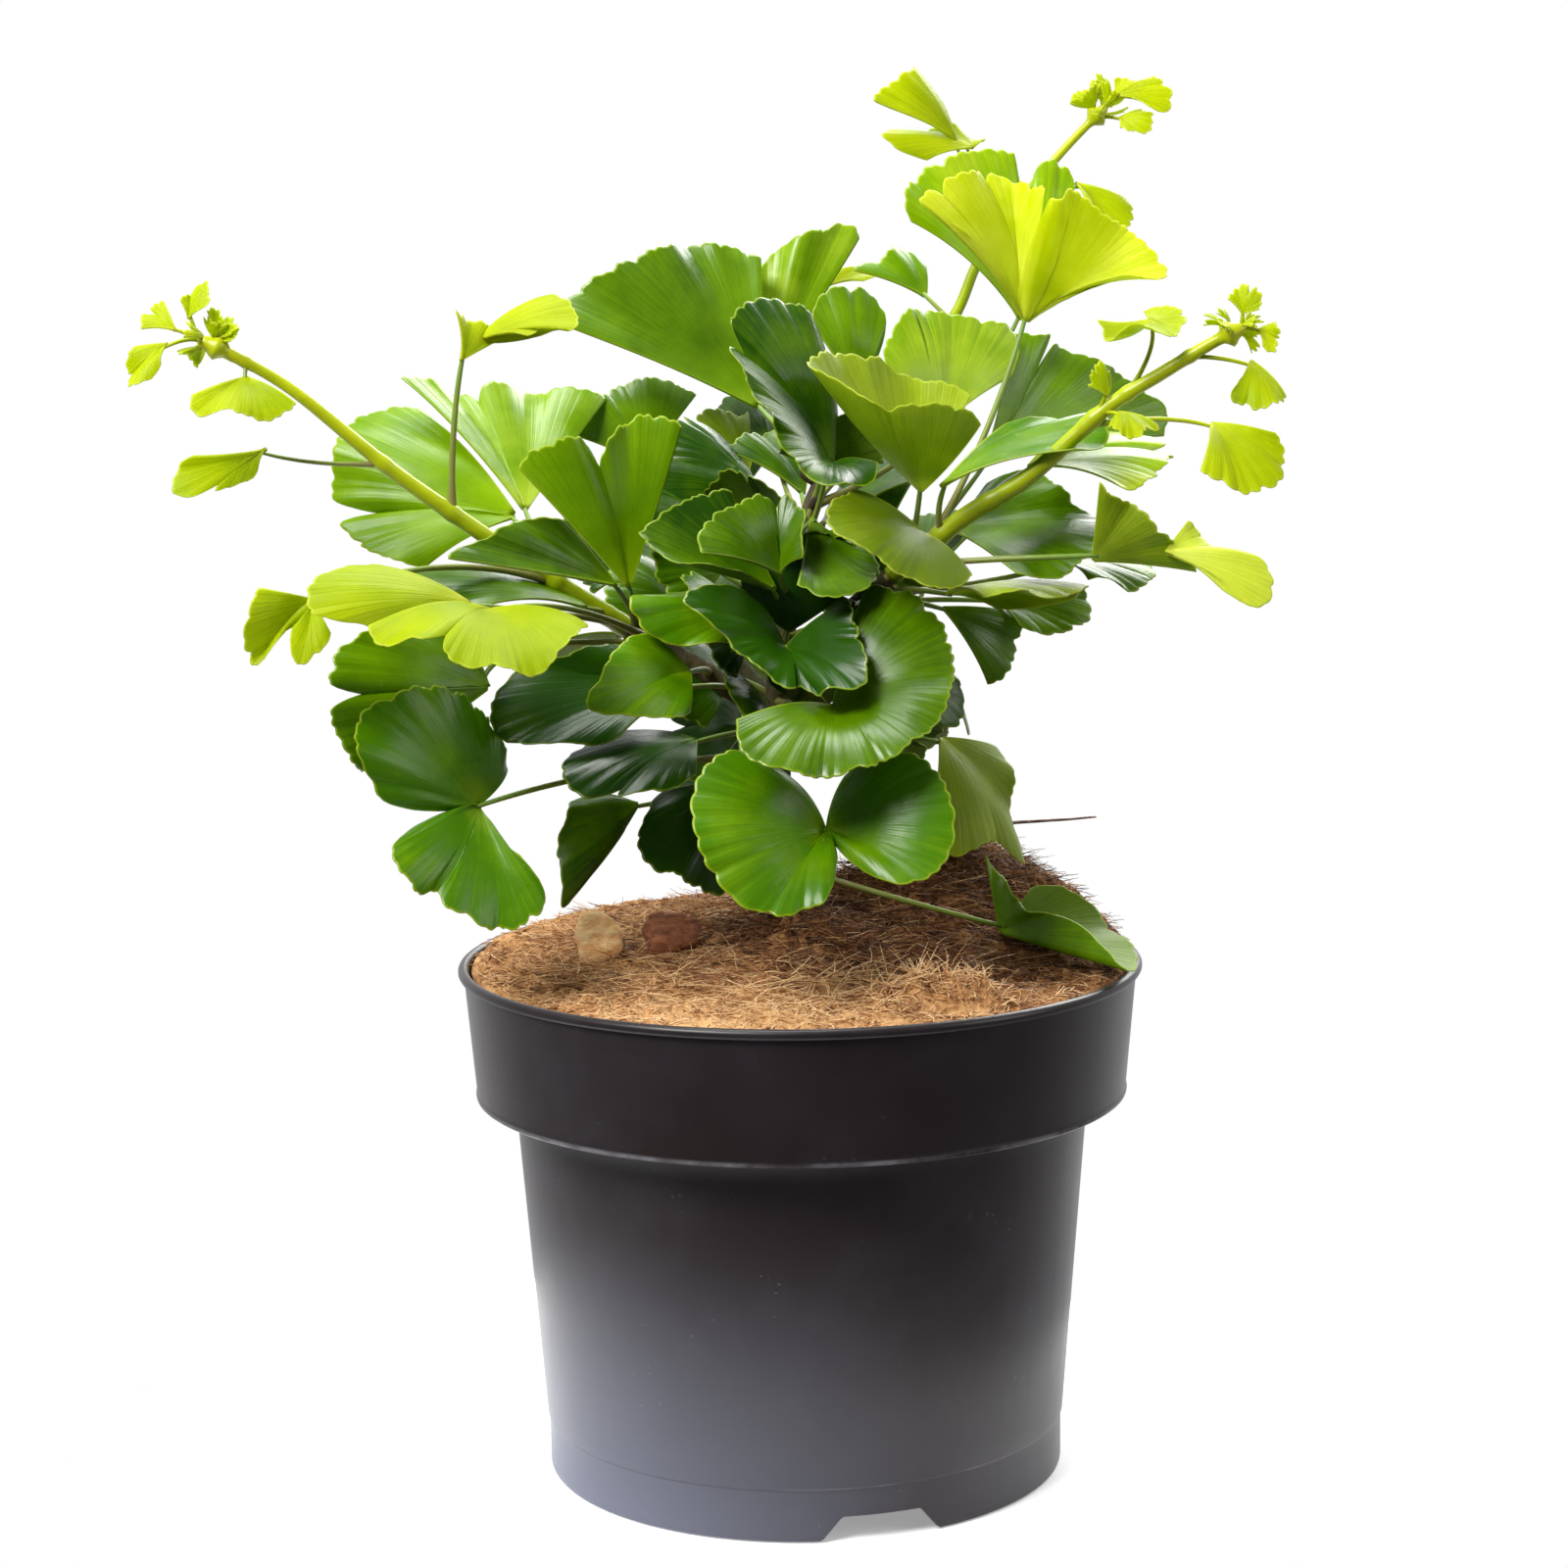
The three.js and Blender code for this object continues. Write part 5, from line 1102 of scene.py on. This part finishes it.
         (-58, -6, 191)], tone=-0.1),
    dict(name="leaf_low_dark", green="mature", stem="trunk", at=0.42, base=(-21, -6, 193),
         margin=[(-20, -18, 163), (-31, -24, 168), (-40, -26, 173), (-43, -24, 182),
         (-38, -14, 191)], tone=-0.32),
    dict(name="leaf_front_great", green="mature", stem="trunk", at=0.55, base=(9, -50, 219),
         margin=[(19, -36, 251), (34, -42, 246), (41, -52, 229), (35, -66, 215), (21, -76, 208),
         (4, -80, 206), (-12, -78, 210), (-17, -70, 218)], bow=0.12, tone=0.0),
    dict(name="leaf_front_butterfly", green="bright", stem="trunk", at=0.4, base=(7, -56, 187),
         margin=[(12, -52, 202), (29, -58, 208), (40, -66, 194), (33, -76, 177), (17, -78, 176),
         (4, -82, 172), (-9, -84, 170), (-23, -82, 183), (-27, -74, 198), (-18, -64, 210),
         (-2, -56, 202)], clefts=[(0.48, 0.75, 0.07)], bow=0.12, tone=-0.14),
]

for place, leaf in enumerate(LEAVES):
    made = Gathered()
    fan = add_blade(made, leaf, 100 + place, leaf.get("wave", 0.03))
    for k, lobe in enumerate(leaf.get("lobes", [])):
        add_blade(made, {"tone": leaf.get("tone", 0.0), **lobe}, 500 + place + k)
    add_stalk(made, fan, leaf)
    made.make(leaf["name"].replace("leaf", "blade"), [*GREENS[leaf["green"]], stalk_skin],
              "leaf_" + leaf["green"], [leaf["name"]])

# ---- Inner leaves: darker leaves deep in the crown that fill the shade round the trunk and behind
# it, their darkness partly painted shade, each on its own stalk from the trunk. They have no solid
# of their own in the frame.
INNER_LEAVES = [
    dict(name="inner_right_low", green="mature", stem="trunk", at=0.5, base=(25, 12, 223),
         margin=[(42, 20, 226), (46, 18, 217), (46, 14, 206), (35, 8, 206)]),
    dict(name="inner_top_yellow", green="young", stem="trunk", at=0.97, base=(7, 72, 326),
         margin=[(13, 78, 332), (26, 82, 332), (22, 74, 329)], slim=0.7, tone=0.1),
    dict(name="inner_left_high", green="mature", stem="trunk", at=0.86, base=(3, 30, 269),
         margin=[(-20, 30, 283), (-12, 38, 287), (-3, 44, 287), (4, 46, 284)]),
    dict(name="inner_left_back", green="mature", stem="trunk", at=0.8, base=(-10, 20, 270),
         margin=[(-40, 6, 267), (-41, 12, 278), (-30, 20, 281), (-14, 28, 279)]),
    dict(name="inner_centre", green="mature", stem="trunk", at=0.62, base=(-2, -14, 235),
         margin=[(-16, -15, 246), (-10, -17, 256), (0, -19, 260), (10, -17, 256),
         (14, -15, 246)], tone=-0.3),
    dict(name="inner_centre_low", green="mature", stem="trunk", at=0.5, base=(4, -15, 213),
         margin=[(-8, -18, 222), (-5, -21, 231), (4, -23, 235), (13, -21, 231),
         (17, -18, 222)], tone=-0.3),
]

# Where each of the rest lies: how far up the trunk it grows, its base, the way it points round the
# trunk and upwards in degrees, how far it is tipped, and its length.
INNER_PLACES = [
    ("inner_a", 0.7, (-20, 4, 250), -150, 25, -50, 24),
    ("inner_b", 0.74, (-22, 12, 262), -165, 30, -30, 26),
    ("inner_c", 0.78, (-8, 2, 262), -110, 50, -20, 22),
    ("inner_d", 0.66, (-14, -6, 238), -120, 10, -60, 24),
    ("inner_e", 0.6, (10, -2, 236), -60, 15, -50, 22),
    ("inner_f", 0.7, (14, 2, 250), -40, 30, -40, 24),
    ("inner_g", 0.82, (-14, 24, 276), 170, 40, -20, 24),
    ("inner_h", 0.86, (8, 12, 276), -70, 55, -10, 22),
    ("inner_i", 0.55, (-18, 4, 222), -150, 5, -60, 22),
    ("inner_j", 0.5, (-8, -10, 214), -100, -5, -70, 24),
    ("inner_k", 0.5, (14, -4, 212), -50, -10, -60, 22),
    ("inner_l", 0.45, (-14, 10, 206), 160, 0, -60, 24),
    ("inner_m", 0.42, (12, 12, 200), 30, 0, -60, 24),
    ("inner_n", 0.9, (22, 20, 284), -20, 35, -30, 24),
    ("inner_o", 0.62, (-30, 10, 240), -170, 20, -50, 24),
    ("inner_p", 0.35, (-4, -12, 188), -95, -15, -60, 22),
    ("inner_q", 0.72, (6, -10, 250), -75, 35, -20, 22),
    ("inner_r", 0.6, (-2, -13, 226), -95, 10, -30, 22),
    ("inner_s", 0.66, (12, -10, 238), -60, 20, 15, 22),
    ("back_a", 0.5, (4, 24, 216), 80, 10, -40, 32),
    ("back_b", 0.6, (-18, 26, 236), 125, 15, -40, 32),
    ("back_c", 0.75, (14, 36, 262), 70, 30, -30, 34),
    ("back_d", 0.85, (-6, 46, 282), 100, 40, -20, 30),
    ("back_e", 0.4, (-16, 18, 196), 140, -5, -50, 28),
    ("back_f", 0.42, (18, 20, 200), 45, -5, -50, 30),
    ("back_g", 0.7, (30, 32, 250), 40, 20, -30, 32),
    ("back_h", 0.65, (-36, 26, 252), 150, 20, -30, 28),
    ("back_i", 0.55, (0, 40, 240), 90, 5, 30, 32),
]
for name, at, base, turn, rise, tip, length in INNER_PLACES:
    turned = (Matrix.Rotation(math.radians(turn), 3, "Z")
              @ Matrix.Rotation(math.radians(-rise), 3, "Y")
              @ Matrix.Rotation(math.radians(tip), 3, "X"))
    margin = []
    for k, share in enumerate((0.82, 0.97, 1.0, 0.97, 0.82)):
        angle = math.radians(-58 + 29 * k)
        ahead = Vector((math.cos(angle), -math.sin(angle), -0.12 * abs(k - 2)))
        margin.append(tuple(Vector(base) + turned @ ahead * (length * share)))
    INNER_LEAVES.append(dict(name=name, green="mature", stem="trunk", at=at, base=base,
                             margin=margin, clefts=[(0.5, 0.15, 0.05)]))
for place, leaf in enumerate(INNER_LEAVES):
    made = Gathered()
    # Their lower tone darkens them: painted shade deep in the crown.
    fan = add_blade(made, {"tone": -0.16, **leaf}, 300 + place)
    add_stalk(made, fan, leaf)
    made.make(leaf["name"], [*GREENS[leaf["green"]], stalk_skin], "leaf_" + leaf["green"])

# ---- New shoots: this year's soft stems, thick, smooth and yellow-green, with a swelling where
# each leaf grows, and a frilled cluster of half-opened leaflets at the tip. The two short sprays
# at the back are older twigs with full-grown leaves.
soft, tree, shader, place = new_skin("soft_shoot")
out = add_node(tree, "Attribute", attribute_name="out").outputs["Fac"]
lines = noise_of(tree, stretched(tree, place, (0.5, 1.0, 1.0)), 160.0, 4.0)
mixed = math_of(tree, "ADD", math_of(tree, "MULTIPLY", out, 0.45),
                math_of(tree, "MULTIPLY", lines, 0.5))
colour = graded(tree, mixed, (0.18, srgb(112, 132, 10)), (0.45, srgb(164, 180, 2)),
                (0.8, srgb(196, 204, 10)))
tree.links.new(colour, shader.inputs["Base Color"])
shader.inputs["Roughness"].default_value = 0.36
tree.links.new(bumped(tree, lines, 0.0004, 0.5), shader.inputs["Normal"])

# The leaves of each shoot and spray, in the same words as the leaves above. slim thins the stalk
# and waist draws a blade in near its base.
GROWTH = {
    "shoot_left": [
        dict(stem="shoot_left", at=0.99, base=(-157, -38, 321), margin=[(-159, -38, 326),
             (-156, -36, 329), (-152, -36, 331), (-151, -40, 326), (-153, -42, 323)], slim=0.7),
        dict(stem="shoot_left", at=0.98, base=(-160, -38, 318), margin=[(-169, -40, 319),
             (-169, -36, 323), (-164, -34, 326)], slim=0.7),
        dict(stem="shoot_left", at=0.99, base=(-162, -40, 315), margin=[(-164, -44, 310),
             (-168, -46, 305), (-172, -44, 304), (-171, -40, 314)], slim=0.7),
        dict(stem="shoot_left", at=0.93, base=(-148, -38, 315), margin=[(-152, -34, 321),
             (-145, -36, 321), (-144, -40, 318), (-145, -42, 315)], slim=0.7),
    ],
    "shoot_right": [
        dict(stem="shoot_right", at=0.7, base=(93, -38, 318), via=(96, -38, 312),
             margin=[(78, -44, 318), (81, -48, 312), (88, -50, 316), (100, -44, 315),
             (102, -36, 319), (92, -30, 321)], slim=0.7),
        dict(stem="shoot_right", at=0.99, base=(116, -44, 319), margin=[(112, -44, 323),
             (115, -42, 326), (119, -44, 327), (120, -46, 320)], slim=0.7),
        dict(stem="shoot_right", at=0.98, base=(120, -44, 315), margin=[(125, -42, 317),
             (125, -46, 312), (124, -48, 309), (121, -48, 311)], slim=0.7),
        dict(stem="shoot_right", at=0.86, base=(119, -40, 307), via=(113, -41, 308),
             margin=[(128, -46, 298), (123, -50, 295), (118, -52, 295), (112, -50, 299),
             (116, -46, 304)], slim=0.7),
        dict(stem="shoot_right", at=0.58, base=(109, -36, 291), via=(98, -36, 294),
             margin=[(126, -40, 288), (126, -48, 276), (114, -54, 274), (104, -54, 279)],
             slim=0.8),
        dict(stem="shoot_right", at=0.6, base=(82, -36, 298), margin=[(77, -38, 301),
             (78, -36, 306), (82, -34, 307), (83, -34, 301)], slim=0.7),
        dict(stem="shoot_right", at=0.61, base=(85, -38, 294), margin=[(95, -44, 291),
             (89, -50, 288), (84, -50, 289), (81, -46, 290)], slim=0.7),
    ],
    "shoot_top": [
        dict(stem="shoot_top", at=0.98, base=(93, 55, 380), margin=[(93, 58, 385),
             (101, 58, 385), (105, 60, 386), (109, 58, 382), (108, 54, 376), (103, 52, 378)],
             slim=0.7),
        dict(stem="shoot_top", at=0.95, base=(94, 54, 374), margin=[(101, 56, 377),
             (104, 52, 373), (98, 48, 369), (94, 50, 371)], slim=0.7),
        dict(stem="shoot_top", at=0.985, base=(90, 56, 380), margin=[(86, 54, 380),
             (86, 56, 383), (87, 58, 387), (92, 60, 385)], slim=0.7),
        dict(stem="shoot_top", at=0.66, base=(81, 50, 356), margin=[(97, 50, 351), (96, 46, 343),
             (88, 42, 345), (83, 42, 350)], slim=0.7),
        dict(stem="shoot_top", at=0.55, base=(48, 49, 366), via=(56, 52, 352),
             margin=[(22, 36, 379), (29, 40, 384), (36, 48, 389), (40, 54, 382)], waist=0.8,
             slim=0.7),
        dict(stem="shoot_top", at=0.57, base=(52, 51, 366), via=(57, 52, 354),
             margin=[(38, 40, 362), (27, 38, 367), (27, 42, 371), (37, 50, 372), (50, 56, 370),
             (56, 54, 368)], slim=0.7),
    ],
    "spray_left": [
        dict(stem="spray_left", at=0.95, base=(-38, 60, 246), margin=[(-68, 58, 262),
             (-62, 78, 262), (-44, 90, 256), (-24, 84, 248)]),
        dict(stem="spray_left", at=0.85, base=(-50, 56, 228), margin=[(-72, 42, 226),
             (-78, 56, 218), (-72, 74, 212), (-54, 80, 214)]),
        dict(stem="spray_left", at=0.75, base=(-26, 66, 222), margin=[(-44, 84, 204),
             (-26, 92, 196), (-8, 88, 202), (0, 76, 214)]),
        dict(stem="spray_left", at=0.7, base=(-24, 48, 258), margin=[(-40, 52, 282),
             (-24, 66, 288), (-6, 72, 280)]),
    ],
    "spray_right": [
        dict(stem="spray_right", at=0.95, base=(38, 64, 238), margin=[(20, 84, 252),
             (36, 92, 258), (52, 84, 262), (62, 66, 262)]),
        dict(stem="spray_right", at=0.85, base=(40, 66, 214), margin=[(26, 88, 222),
             (36, 96, 212), (50, 90, 200), (52, 74, 194)]),
        dict(stem="spray_right", at=0.7, base=(24, 62, 208), margin=[(2, 80, 192), (20, 92, 184),
             (40, 88, 188), (46, 74, 198)]),
        dict(stem="spray_right", at=0.6, base=(26, 52, 256), margin=[(6, 66, 276), (22, 76, 286),
             (42, 70, 280)]),
    ],
}

SHOOT_STEPS = 120
LEAFLET_COUNT = 7


def bud_leaflets(stem, chance):
    """Tiny half-opened leaflets that crowd round the tip of a shoot, each a short frilled fan."""
    tip = stem_point(stem, 0.97)
    found = []
    for k in range(LEAFLET_COUNT):
        turn, rise = 2.4 * k + chance.uniform(0, 1), chance.uniform(-0.5, 1.2)
        ahead = Vector((math.cos(turn) * math.cos(rise), math.sin(turn) * math.cos(rise),
                        math.sin(rise)))
        across = ahead.orthogonal().normalized()
        across.rotate(Matrix.Rotation(chance.uniform(0, 6.28), 3, ahead))
        base = Vector(tip) + ahead * 2.6
        length = chance.uniform(5.0, 7.5)
        margin = []
        for j, share in enumerate((0.8, 1.05, 0.9, 1.05, 0.8)):
            spread = 0.42 * (j - 2)
            cup = 0.25 * (j - 2) ** 2
            over = ahead.cross(across)
            way = ahead + across * spread * 1.4 + over * cup * 0.5
            margin.append(tuple(base + way * (length * share * 0.8)))
        found.append(dict(stem=stem, at=0.96, base=tuple(base), margin=margin, slim=0.6))
    return found


for name, leaflets in GROWTH.items():
    tender = name.startswith("shoot")
    if tender:
        leaflets = leaflets + bud_leaflets(name, np.random.default_rng(len(name)))
    made = Gathered()
    start, end = STEM_RADII[name]
    path = smooth_line(STEM_POINTS[name], SHOOT_STEPS)
    f = np.linspace(0, 1, SHOOT_STEPS + 1)
    radii = start + (end - start) * f - RING_ROOM
    grown_from = [leaf["at"] for leaf in [*LEAVES, *leaflets] if leaf.get("stem") == name]
    for at in grown_from:
        radii = radii + 0.3 * np.exp(-((f - at) / 0.012) ** 2)
    radii[-3:] *= [0.9, 0.7, 0.35]
    points, faces, along = swept(path, radii, 18)
    made.add(points, faces, 0, out=along, vein=0.0, rim=STALK_RIM, tone=0.0)
    for k, leaf in enumerate(leaflets):
        part = Gathered()
        seed = 700 + 31 * k + len(name)
        if tender:
            fan = add_blade(part, dict(tone=0.05, **leaf), seed, 0.05, 1.3, 1.6)
        else:
            fan = add_blade(part, dict(tone=-0.05, **leaf), seed, 0.012)
        add_stalk(part, fan, leaf)
        skins = [skin + 1 if skin < 2 else 3 for skin in part.skins]
        made.add(np.vstack(part.points), part.faces, skins,
                 **{key: np.concatenate(v) for key, v in part.values.items()})
    green = "young" if tender else "mature"
    made.make(name.replace("shoot", "new_shoot").replace("spray", "leafy_spray"),
              [soft if tender else bark, *GREENS[green], soft if tender else stalk_skin],
              "green_shoot" if tender else "leaf_mature", [name])

# ---- Floor and light: a plain white floor that fades into the white backdrop, a wide soft window
# light high on the left, a light behind the plant that shines through the upper leaves, one
# overhead, and a weak fill.
FLOOR_RADIUS = 0.18
FLOOR_SHIFT = -0.03
FLOOR_DROP = 0.0004
FLOOR_SIDES = 96
FADE = (0.1, 0.17)  # where the floor starts and ends fading, from the middle of the pot

floor_skin, tree, shader, place = new_skin("white_floor")
shader.inputs["Base Color"].default_value = (0.86, 0.86, 0.87, 1)
shader.inputs["Roughness"].default_value = 0.9
shader.inputs["Emission Color"].default_value = (1, 1, 1, 1)
away = add_node(tree, "VectorMath", {0: place}, operation="LENGTH").outputs["Value"]
glow = math_of(tree, "ADD", math_of(tree, "MULTIPLY", mask_of(tree, away, *FADE), 0.5), 0.3)
tree.links.new(glow, shader.inputs["Emission Strength"])
turn = np.linspace(0, 2 * np.pi, FLOOR_SIDES + 1)[:-1]
mesh = bpy.data.meshes.new("floor")
ring = [(FLOOR_RADIUS * math.cos(a) + FLOOR_SHIFT, FLOOR_RADIUS * math.sin(a), -FLOOR_DROP)
        for a in turn]
mesh.from_pydata(ring, [], [tuple(range(FLOOR_SIDES))])
mesh.materials.append(floor_skin)
floor = bpy.data.objects.new("floor", mesh)
scene.collection.objects.link(floor)


def add_light(name, place, aim, width, height, power, colour):
    """A soft rectangular light, turned towards aim, with its power in watts."""
    data = bpy.data.lights.new(name, "AREA")
    data.shape, data.size, data.size_y = "RECTANGLE", width, height
    data.energy, data.color = power, colour
    lamp = bpy.data.objects.new(name, data)
    lamp.location = place
    lamp.rotation_euler = (Vector(aim) - Vector(place)).to_track_quat("-Z", "Y").to_euler()
    scene.collection.objects.link(lamp)


add_light("window", (-0.8, -0.85, 1.3), (0, 0, 0.25), 0.7, 0.55, 34, (1.0, 0.99, 0.96))
add_light("overhead", (-0.1, 0.15, 1.6), (0, 0, 0.25), 0.6, 0.6, 15, (1.0, 1.0, 0.98))
add_light("behind", (0.5, 1.3, 1.1), (0, 0, 0.3), 1.2, 0.8, 26, (1.0, 1.0, 0.97))
add_light("fill", (1.3, -0.5, 0.7), (0, 0, 0.2), 0.5, 0.7, 5, (1.0, 0.97, 0.93))
world = bpy.data.worlds.new("studio")
scene.world = world
world.use_nodes = True
tree = world.node_tree
way = add_node(tree, "TexCoord").outputs["Generated"]
back = add_node(tree, "SeparateXYZ", {"Vector": way}).outputs["Y"]
room = graded(tree, mask_of(tree, back, -0.9, 0.9), (0.0, (0.06, 0.06, 0.07, 1)),
              (0.5, (0.25, 0.25, 0.26, 1)), (1.0, (0.95, 0.95, 0.97, 1)))
seen = add_node(tree, "LightPath").outputs["Is Camera Ray"]
around = layered(tree, seen, room, (1.0, 1.0, 1.0, 1))
tree.links.new(around, tree.nodes["Background"].inputs["Color"])
